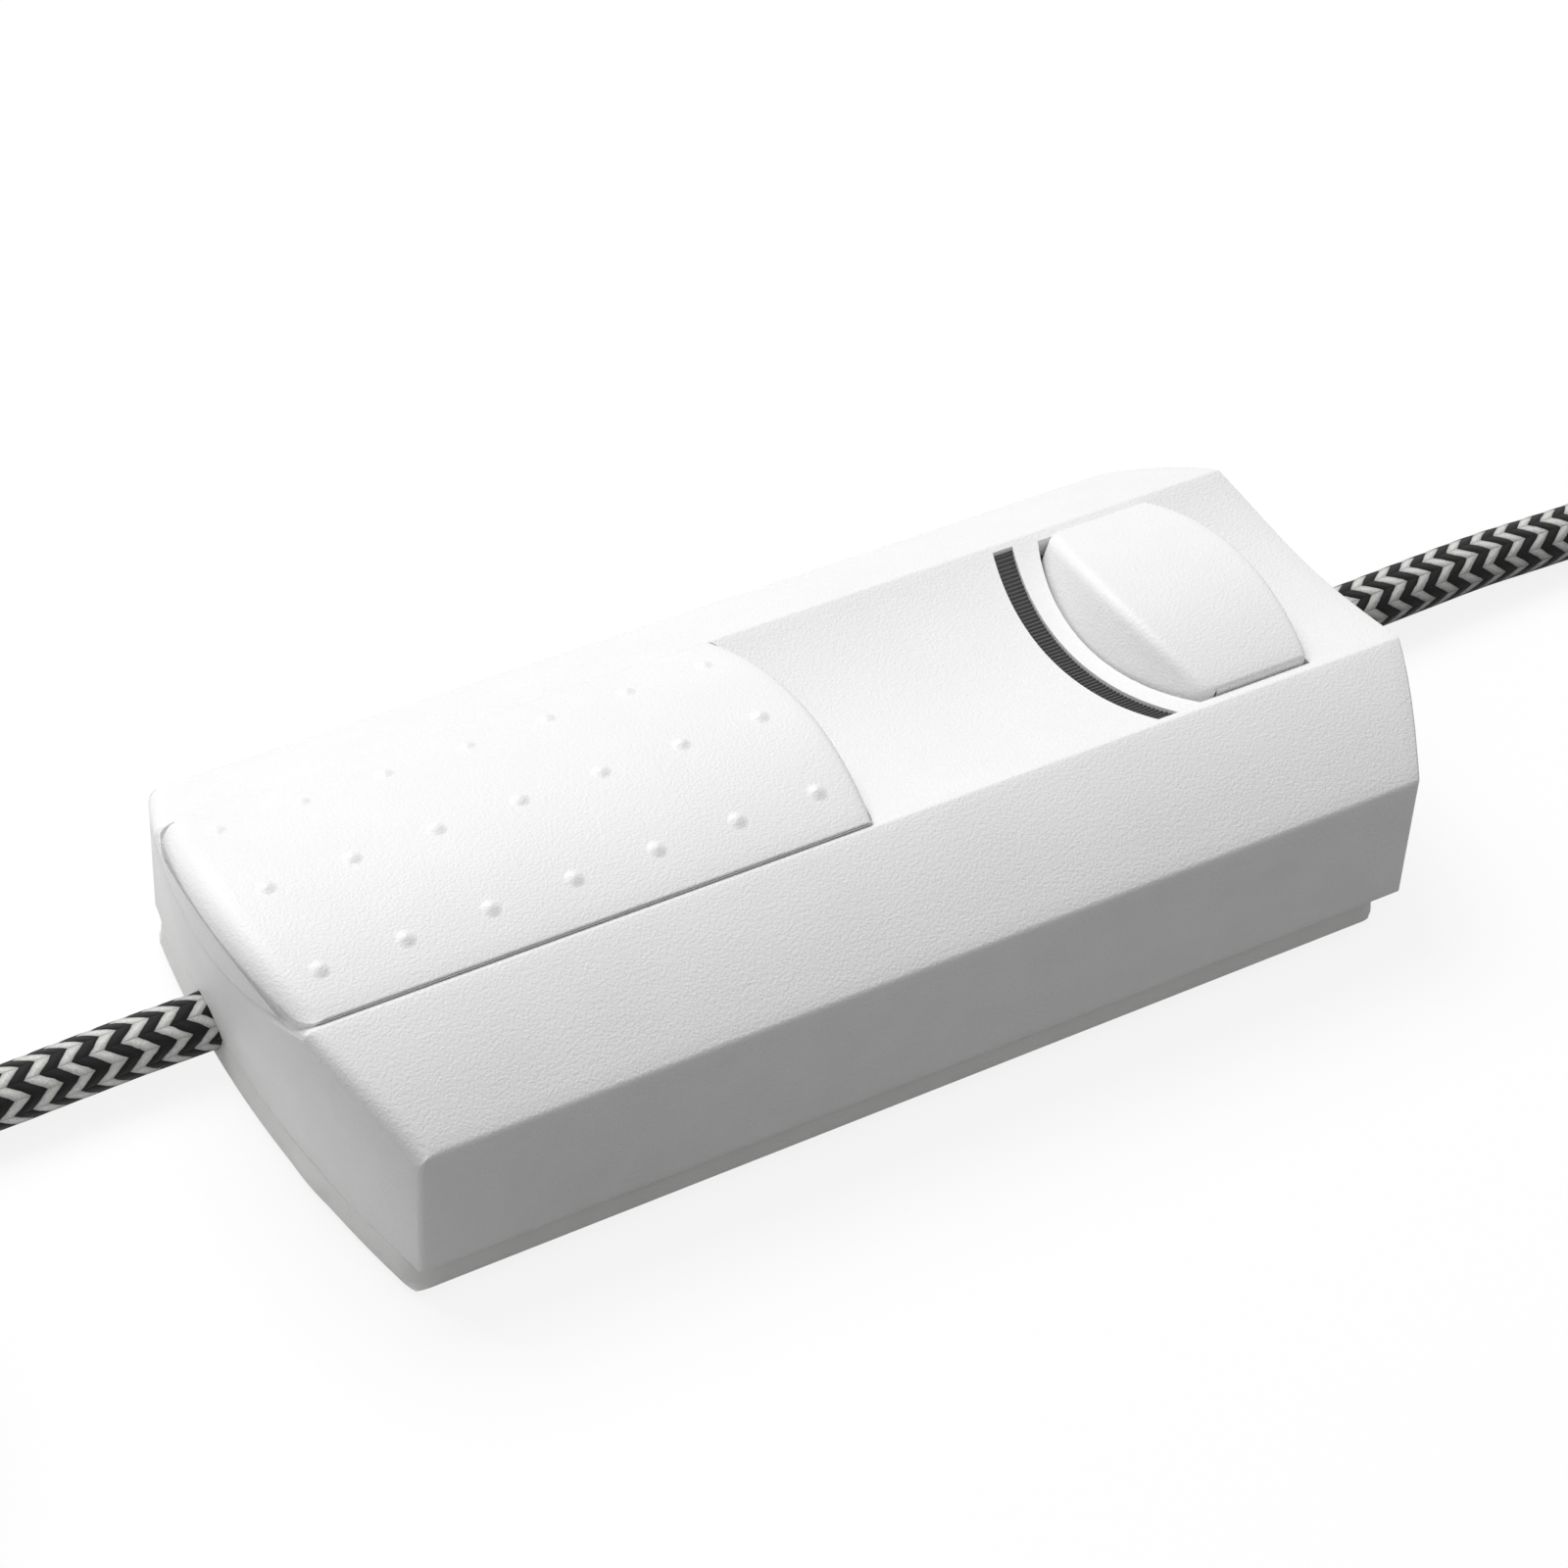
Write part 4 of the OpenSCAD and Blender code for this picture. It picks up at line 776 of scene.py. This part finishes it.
# Grid lines of the shell. The last ones lie further from the edge than its easing.
SHELL_COLUMNS = [8, 16, 24, 32, 40, 47, 53, 58, HALF_L - 2.2, HALF_L]
DISH_ROWS = steps(0, HALF_PANEL - 1.2, FINE_STEP)[1:] + [HALF_PANEL]
SHOULDER_ROWS = [HALF_PANEL + 1.2, 19.5, 22, 24.5, HALF_W - 1.6, HALF_W]
SHELL_LEVELS = [0, 0.06, 0.35, 0.65, 0.88, 1]
CAVITY_ROWS = [4, 8, 12, HALF_PANEL, 22, HALF_W - WALL]


def add_shell():
    us = centred([x / HALF_L for x in SHELL_COLUMNS])
    vs = centred(DISH_ROWS + SHOULDER_ROWS)
    shell = block("upper_shell_dressed", us, vs, SHELL_LEVELS, shell_place, shell_easing)
    cavity = block("cavity", [-1, 1], centred(CAVITY_ROWS), [0, 0.5, 1], cavity_place)
    posts = [prism("post", disc(x, y, POST_R), POST_FOOT, PANEL_Z) for x, y in quarters(POST_X, POST_Y)]
    cavity = cut(cavity, *posts)
    half_l = TRAVEL / 2 + STEM_HALF_L + STEM_PLAY_L
    stem = rectangle(STEM_X + TRAVEL / 2, half_l, STEM_HALF_W + STEM_PLAY_W)
    above = PANEL_Z + ABOVE
    shell = cut(
        shell,
        cavity,
        prism("mouth", base_outline(RIM_T), PART_Z - BELOW, PART_Z + MOUTH_H),
        prism("slot", slot_outline(), FLANGE_Z, above),
        prism("button_hole", button_outline(-BUTTON_GAP), FLANGE_Z, above),
        prism("stem_slot", stem, FLANGE_Z, above),
        *cord_bores(),
    )
    smooth_by_angle(shell, SHELL_SMOOTH)
    obj = new_object("upper_shell_dressed", shell, "housing", "white_case")
    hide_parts("upper_shell")


# Base plate

def pry_bulge(y, z):
    """How far the thumbnail ledge stands out of the base's mains end."""
    share = max(0, 1 - ((y - LEDGE_Y) / LEDGE_HALF) ** 2)
    rise = eased((PART_Z - z) / LEDGE_H)
    out = LEDGE_TOP_SHARE + (1 - LEDGE_TOP_SHARE) * rise
    return LEDGE_OUT * share * out * clamped((z - FOOT_PROUD) / LEDGE_FOOT_H)


def base_mains_x(y, z):
    """Mains end of the base, which carries on the slope of the shell's end."""
    return arc_x(y, LOW_END_R) + BASE_FLARE * (PART_Z - z) / BASE_H + pry_bulge(y, z)


def base_place(u, y, w):
    z = FOOT_PROUD + w * BASE_H
    left = -base_mains_x(y, z)
    right = arc_x(y, LOW_END_R) - BASE_LAMP_INSET
    return (left + u * (right - left), y, z)


def base_easing(a, b):
    side = on_edge(a, b, 1, -BASE_HW, BASE_HW)
    end = on_edge(a, b, 0, 0, 1)
    if end and side:
        return BASE_CORNER
    if on_edge(a, b, 0, 1) and on_edge(a, b, 2, 0):
        return BASE_LAMP_EASE
    if (end or side) and on_edge(a, b, 2, 0):
        return BASE_LOW_EASE
    if (end or side) and on_edge(a, b, 2, 1):
        return BASE_TOP_EASE
    return 0


# Grid lines of the base. Those next to its ends and sides leave room for the corners.
BASE_ROWS = steps(0, BASE_HW - 3.2, STEP)[1:] + [BASE_HW]
BASE_END = 3.4 / BODY_L
BASE_COLUMNS = [0, BASE_END, 0.25, 0.5, 0.75, 1 - BASE_END, 1]
BASE_LEVELS = [0, 0.38, 0.55, 0.68, 0.82, 1]
LEDGE_ROWS = steps(LEDGE_Y - LEDGE_HALF, LEDGE_Y + LEDGE_HALF, 0.5)


def add_base():
    apart = [v for v in centred(BASE_ROWS) if abs(v - LEDGE_Y) >= LEDGE_HALF + LEDGE_MARGIN]
    vs = sorted(apart + LEDGE_ROWS)
    base = block("base_plate_dressed", BASE_COLUMNS, vs, BASE_LEVELS, base_place, base_easing)
    inner = BASE_HW - RIM_T
    pocket_rows = steps(-inner, inner, STEP)
    lamp = [(arc_x(y, LOW_END_R) - BASE_LAMP_INSET - RIM_T, y) for y in pocket_rows]
    mains = [(-arc_x(y, LOW_END_R) + RIM_T, y) for y in reversed(pocket_rows)]
    base = cut(base, prism("pocket", lamp + mains, FLOOR_TOP, PART_Z + 1))
    posts = quarters(POST_X, POST_Y)
    board_posts = quarters(BOARD_POST_X, BOARD_POST_Y)
    pillars = [(x, EXIT_Y + y) for x, y in quarters(CLAMP_X, CLAMP_PITCH)]
    feet = quarters(FOOT_X, FOOT_Y)
    root_z = FOOT_PROUD + 1
    raised = [prism("post", disc(x, y, POST_R), root_z, POST_FOOT) for x, y in posts]
    raised += [prism("board_post", disc(x, y, BOARD_POST_R), root_z, BOARD_Z) for x, y in board_posts]
    raised += [prism("pillar", disc(x, y, PILLAR_R), root_z, CLAMP_Z) for x, y in pillars]
    base = cut(base, *raised, operation="UNION")
    head_r, shank_r, seat_r = SCREW_HEAD_R + SCREW_PLAY, SCREW_R + SCREW_PLAY, FOOT_R + SEAT_PLAY
    sunk = [prism("recess", disc(x, y, head_r), 0, RECESS_Z) for x, y in posts]
    sunk += [prism("screw_bore", disc(x, y, shank_r), 0, POST_FOOT + 1) for x, y in posts]
    sunk += [prism("foot_seat", disc(x, y, seat_r), 0, FOOT_PROUD + SEAT_DEPTH) for x, y in feet]
    base = cut(base, *sunk, *cord_bores())
    smooth_by_angle(base, BASE_SMOOTH)
    obj = new_object("base_plate_dressed", base, "housing", "white_base")
    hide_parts("base_plate")


# Slider

SLIDER_LIFT, LEAST_HOLLOW = 0.15, 0.5
SLIDER_END_EASE, SLIDER_NOSE_EASE, SLIDER_SIDE_EASE = 2.4, 0.8, 0.18
SLIDER_CORNER_EASE, SLIDER_NOSE_CORNER_EASE = 1.7, 0.5


def slider_place(u, v, w):
    half = SLIDER_W / 2
    y = v * half
    x0 = SLIDER_X0 + END_R - SLIDER_INSET
    left = x0 - math.sqrt((END_R - SLIDER_INSET) ** 2 - y * y)
    right = SLIDER_X0 + SLIDER_L - SLIDER_NOSE_R + math.sqrt(SLIDER_NOSE_R ** 2 - y * y)
    low = dish_z(y) + SLIDER_LIFT
    return (left + u * (right - left), y, low + w * (crown_z(y, half, SLIDER_EDGE_Z) - low))


def slider_easing(a, b):
    if on_edge(a, b, 0, 0, 1) and on_edge(a, b, 1, -1, 1):
        return SLIDER_CORNER_EASE if a[0] == 0 else SLIDER_NOSE_CORNER_EASE
    if on_edge(a, b, 2, 1) and on_edge(a, b, 0, 0):
        return SLIDER_END_EASE
    if on_edge(a, b, 2, 1) and on_edge(a, b, 0, 1):
        return SLIDER_NOSE_EASE
    if on_edge(a, b, 2, 1) and on_edge(a, b, 1, -1, 1):
        return SLIDER_SIDE_EASE
    return 0


def dome(x, y):
    """Grip dome that runs out softly into the slider's crown."""
    bm = bmesh.new()
    half = SLIDER_W / 2
    middle = bm.verts.new((x * MM, y * MM, (crown_z(y, half, SLIDER_EDGE_Z) + DOME_H) * MM))
    last = None
    for i in range(1, DOME_RINGS + 1):
        r = DOME_R * i / DOME_RINGS
        ring = []
        for k in range(DOME_SIDES):
            t = 2 * math.pi * k / DOME_SIDES
            px, py = x + r * math.cos(t), y + r * math.sin(t)
            lift = DOME_H * (math.cos(math.pi * i / DOME_RINGS) + 1) / 2 - DOME_SUNK
            ring.append(bm.verts.new((
                px * MM, py * MM, (crown_z(py, half, SLIDER_EDGE_Z) + lift) * MM
            )))
        for k in range(DOME_SIDES):
            after = (k + 1) % DOME_SIDES
            if last is None:
                bm.faces.new((middle, ring[k], ring[after]))
            else:
                bm.faces.new((last[k], ring[k], ring[after], last[after]))
        last = ring
    mesh = bpy.data.meshes.new("dome")
    bm.to_mesh(mesh)
    bm.free()
    mesh.shade_smooth()
    return mesh


def slider_hollow_place(u, v, w):
    x0 = slider_place(0, v, 0)[0] + SLIDER_WALL
    x1 = slider_place(1, v, 0)[0] - SLIDER_WALL
    y = v * (SLIDER_W / 2 - SLIDER_WALL)
    low = dish_z(y) - BELOW
    high = crown_z(y, SLIDER_W / 2, SLIDER_EDGE_Z) - SLIDER_ROOF
    return (x0 + u * (x1 - x0), y, low + w * (max(high, low + LEAST_HOLLOW) - low))


# Grid lines of the slider, with room for its eased edges
SLIDER_COLUMNS = [0, 3.2 / SLIDER_L] + [i / 16 for i in range(2, 16)] + [1 - 1.8 / SLIDER_L, 1]
SLIDER_ROWS = [2 * y / SLIDER_W for y in steps(0, SLIDER_W / 2 - 1.8, ROW_STEP)[1:]] + [1]
SLIDER_LEVELS = [0, 0.3, 0.62, 1]
STEM_FOOT_Z, STEM_TOP_Z = CEILING_Z - 0.4, CROWN_Z - 1.4


def add_slider():
    vs = centred(SLIDER_ROWS)
    slider = block("slider_plate_dressed", SLIDER_COLUMNS, vs, SLIDER_LEVELS, slider_place, slider_easing)
    hollow = block("hollow", [0, 1], HOLLOW_ROWS, [0, 1], slider_hollow_place)
    slider = cut(slider, hollow)
    smooth_by_angle(slider, TOP_SMOOTH)
    stem = rectangle(STEM_X, STEM_HALF_L, STEM_HALF_W)
    parts = [slider, prism("stem", stem, STEM_FOOT_Z, STEM_TOP_Z)]
    parts += [
        dome(SLIDER_X0 + DOME_START + i * DOME_PITCH, j * DOME_ROW)
        for i in range(DOME_COUNT) for j in (-1, 0, 1)
    ]
    obj = new_object("slider_plate_dressed", joined("slider_plate_dressed", parts), "slider", "white_case")
    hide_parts("slider_plate")


# Button

BUTTON_FRONT_EASE, BUTTON_TOP_EASE = 0.9, 0.4
BUTTON_FRONT_CORNER_EASE, BUTTON_BACK_CORNER_EASE = 1.2, 0.6


def button_place(u, v, w):
    half = BUTTON_W / 2
    y = v * half
    high = crown_z(y, half, BUTTON_EDGE_Z)
    foot = PANEL_Z - DISH_DEPTH
    z = FLANGE_Z + w * (high - FLANGE_Z)
    share = clamped((z - foot) / (CROWN_Z - foot))
    left = button_left(y, 0, BUTTON_RAKE * share)
    return (left + u * (button_right(y, 0) - left), y, z)


def button_easing(a, b):
    if on_edge(a, b, 2, 1) and on_edge(a, b, 0, 0):
        return BUTTON_FRONT_EASE
    if on_edge(a, b, 2, 1) and (on_edge(a, b, 0, 1) or on_edge(a, b, 1, -1, 1)):
        return BUTTON_TOP_EASE
    if on_edge(a, b, 0, 0, 1) and on_edge(a, b, 1, -1, 1):
        return BUTTON_FRONT_CORNER_EASE if a[0] == 0 else BUTTON_BACK_CORNER_EASE
    return 0


def button_hollow_place(u, v, w):
    y = v * (BUTTON_W / 2 - BUTTON_WALL)
    high = crown_z(y, BUTTON_W / 2, BUTTON_EDGE_Z) - BUTTON_ROOF
    left = button_left(y, BUTTON_WALL, BUTTON_RAKE)
    right = button_right(y, BUTTON_WALL)
    return (left + u * (right - left), y, FLANGE_Z - BELOW + w * (high - FLANGE_Z + BELOW))


# Grid lines of the button, with room for its eased edges
BUTTON_COLUMNS = [0, 0.085, 0.25, 0.42, 0.6, 0.78, 0.93, 1]
BUTTON_ROWS = [2 * y / BUTTON_W for y in steps(0, BUTTON_W / 2 - 1.6, ROW_STEP)[1:]] + [1]
BUTTON_LEVELS = [0, 0.4, 0.62, 0.85, 1]


def add_button():
    vs = centred(BUTTON_ROWS)
    button = block("push_button_dressed", BUTTON_COLUMNS, vs, BUTTON_LEVELS, button_place, button_easing)
    hollow = block("hollow", [0, 1], HOLLOW_ROWS, [0, 1], button_hollow_place)
    button = cut(button, hollow)
    smooth_by_angle(button, TOP_SMOOTH)
    flange = cut(
        prism("flange", button_outline(-FLANGE_OUT), FLANGE_Z, FLANGE_Z + FLANGE_T),
        prism("inside", button_outline(FLANGE_IN), FLANGE_Z - BELOW, FLANGE_Z + ABOVE_FLANGE),
    )
    middle = (BUTTON_X0 + BUTTON_X1) / 2
    post = prism("post", disc(middle, 0, BUTTON_POST_R), BUTTON_POST_Z, CROWN_Z - BUTTON_WALL)
    mesh = joined("push_button_dressed", [button, flange, post])
    obj = new_object("push_button_dressed", mesh, "button", "white_case")
    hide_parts("push_button")


# Indicator lens: a dark strip with fine cross ribs

RIB_PITCH, RIB_H, LENS_SUNK, LENS_GAP = 0.5, 0.18, 0.35, 0.05
RIB_PROFILE = (0, RIB_H, RIB_H, 0)
LENS_FOOT_Z = CEILING_Z - 1.5


def add_lens():
    cx = SLOT_X0 + SLOT_R
    inner_r, outer_r = SLOT_R - SLOT_W + LENS_GAP, SLOT_R - LENS_GAP
    half = SLOT_HALF - LENS_GAP
    count = int(2 * SLOT_HALF / RIB_PITCH) * len(RIB_PROFILE)
    bm = bmesh.new()
    rows = []
    for i in range(count + 1):
        y = half * (2 * i / count - 1)
        top = dish_z(y) - LENS_SUNK - RIB_H + RIB_PROFILE[i % len(RIB_PROFILE)]
        outer = cx - math.sqrt(outer_r ** 2 - y * y)
        inner = cx - math.sqrt(inner_r ** 2 - y * y)
        row = [(outer, y, LENS_FOOT_Z), (outer, y, top), (inner, y, top), (inner, y, LENS_FOOT_Z)]
        rows.append([bm.verts.new([c * MM for c in p]) for p in row])
    for a, b in zip(rows, rows[1:]):
        for k in range(len(a)):
            after = (k + 1) % len(a)
            bm.faces.new((a[k], b[k], b[after], a[after]))
    bm.faces.new(rows[0])
    bm.faces.new(rows[-1][::-1])
    bmesh.ops.recalc_face_normals(bm, faces=bm.faces)
    mesh = bpy.data.meshes.new("indicator_lens_ribbed")
    bm.to_mesh(mesh)
    bm.free()
    obj = new_object("indicator_lens_ribbed", mesh, "housing", "smoked_lens")
    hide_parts("indicator_lens")


# CAD pieces that stay

def dress_nodes():
    """Each CAD piece takes the material of its slot in the record."""
    slots = {s["node"]: s["material_slot"] for s in frame["record"]["subparts"]}
    for name, obj in frame["nodes"].items():
        obj.data.materials.clear()
        obj.data.materials.append(materials[slots[name]])


# Floor and light

FLOOR_SIZE = 3.0
FLOOR_LIFT = 0.85
FLOOR_PALE = (0.98, 0.98, 0.98, 1)
FLOOR_DIM, CARD = 0.12, 0.78
CARD_X, CARD_Y = (0.045, 0.075), (-0.05, -0.02)


def add_floor():
    """Pale floor. The camera sees it near white, and only the stretch at the mains
    end throws much light back, as a white card there would."""
    n = MaterialNodes("floor")
    path = n.add("ShaderNodeLightPath")
    seen = n.math("MAXIMUM", path.outputs["Is Camera Ray"], path.outputs["Is Glossy Ray"])
    seen = n.math("MAXIMUM", seen, path.outputs["Is Transmission Ray"])
    place = n.add("ShaderNodeSeparateXYZ", {0: n.add("ShaderNodeTexCoord").outputs["Object"]})
    left = n.ramp(n.math("MULTIPLY", place.outputs["X"], -1.0), 0.0, 1.0, *CARD_X)
    beside = n.math("MULTIPLY", left, n.ramp(place.outputs["Y"], 0.0, 1.0, *CARD_Y))
    card = n.math("MULTIPLY_ADD", beside, CARD, FLOOR_DIM)
    dim = n.add("ShaderNodeBsdfDiffuse", {"Color": card})
    pale = n.add("ShaderNodeBsdfDiffuse", {"Color": FLOOR_PALE})
    glow = n.add("ShaderNodeEmission", {"Color": (1, 1, 1, 1), "Strength": 1.0})
    bright = n.add("ShaderNodeMixShader", {0: FLOOR_LIFT, 1: pale.outputs[0], 2: glow.outputs[0]})
    both = n.add("ShaderNodeMixShader", {0: seen, 1: dim.outputs[0], 2: bright.outputs[0]})
    n.put(both.outputs[0], n.out.inputs["Surface"])
    half = FLOOR_SIZE / 2
    mesh = bpy.data.meshes.new("floor")
    corners = [(-half, -half, 0), (half, -half, 0), (half, half, 0), (-half, half, 0)]
    mesh.from_pydata(corners, [], [(0, 1, 2, 3)])
    mesh.materials.append(n.mat)
    obj = bpy.data.objects.new("floor", mesh)
    bpy.context.scene.collection.objects.link(obj)


SKY = 0.41
SKY_SIDE = 0.55
BACKDROP = 0.8
KEY_FROM = Vector((-0.08, 0.39, 0.68))
KEY_POWER = 4.85
KEY_SIZE = 0.55


def add_sky():
    """Soft light from all round, stronger from the mains end. The camera sees a pale
    backdrop in its place."""
    world = bpy.data.worlds.new("world")
    bpy.context.scene.world = world
    world.use_nodes = True
    n = Nodes(world.node_tree)
    toward = n.add("ShaderNodeSeparateXYZ", {0: n.add("ShaderNodeTexCoord").outputs["Generated"]})
    left = n.math("MULTIPLY", toward.outputs["X"], -SKY * SKY_SIDE, clamp=True)
    sky = n.tree.nodes["Background"]
    n.put((1, 1, 1, 1), sky.inputs["Color"])
    n.put(n.math("ADD", left, SKY), sky.inputs["Strength"])
    backdrop = n.add("ShaderNodeBackground", {"Color": rgba([BACKDROP] * 3), "Strength": 1.0})
    seen = n.add("ShaderNodeLightPath").outputs["Is Camera Ray"]
    mix = n.add("ShaderNodeMixShader", {0: seen, 1: sky.outputs[0], 2: backdrop.outputs[0]})
    n.put(mix.outputs[0], n.tree.nodes["World Output"].inputs["Surface"])


def add_key():
    lamp = bpy.data.lights.new("key", "AREA")
    lamp.shape = "DISK"
    lamp.size = KEY_SIZE
    lamp.energy = KEY_POWER
    obj = bpy.data.objects.new("key", lamp)
    bpy.context.scene.collection.objects.link(obj)
    turn = KEY_FROM.to_track_quat("Z", "Y").to_matrix().to_4x4()
    obj.matrix_world = Matrix.Translation(KEY_FROM) @ turn


add_camera()
add_leads()
dress_nodes()
add_shell()
add_base()
add_slider()
add_button()
add_lens()
add_floor()
add_sky()
add_key()
bpy.context.scene.view_settings.view_transform = "Standard"
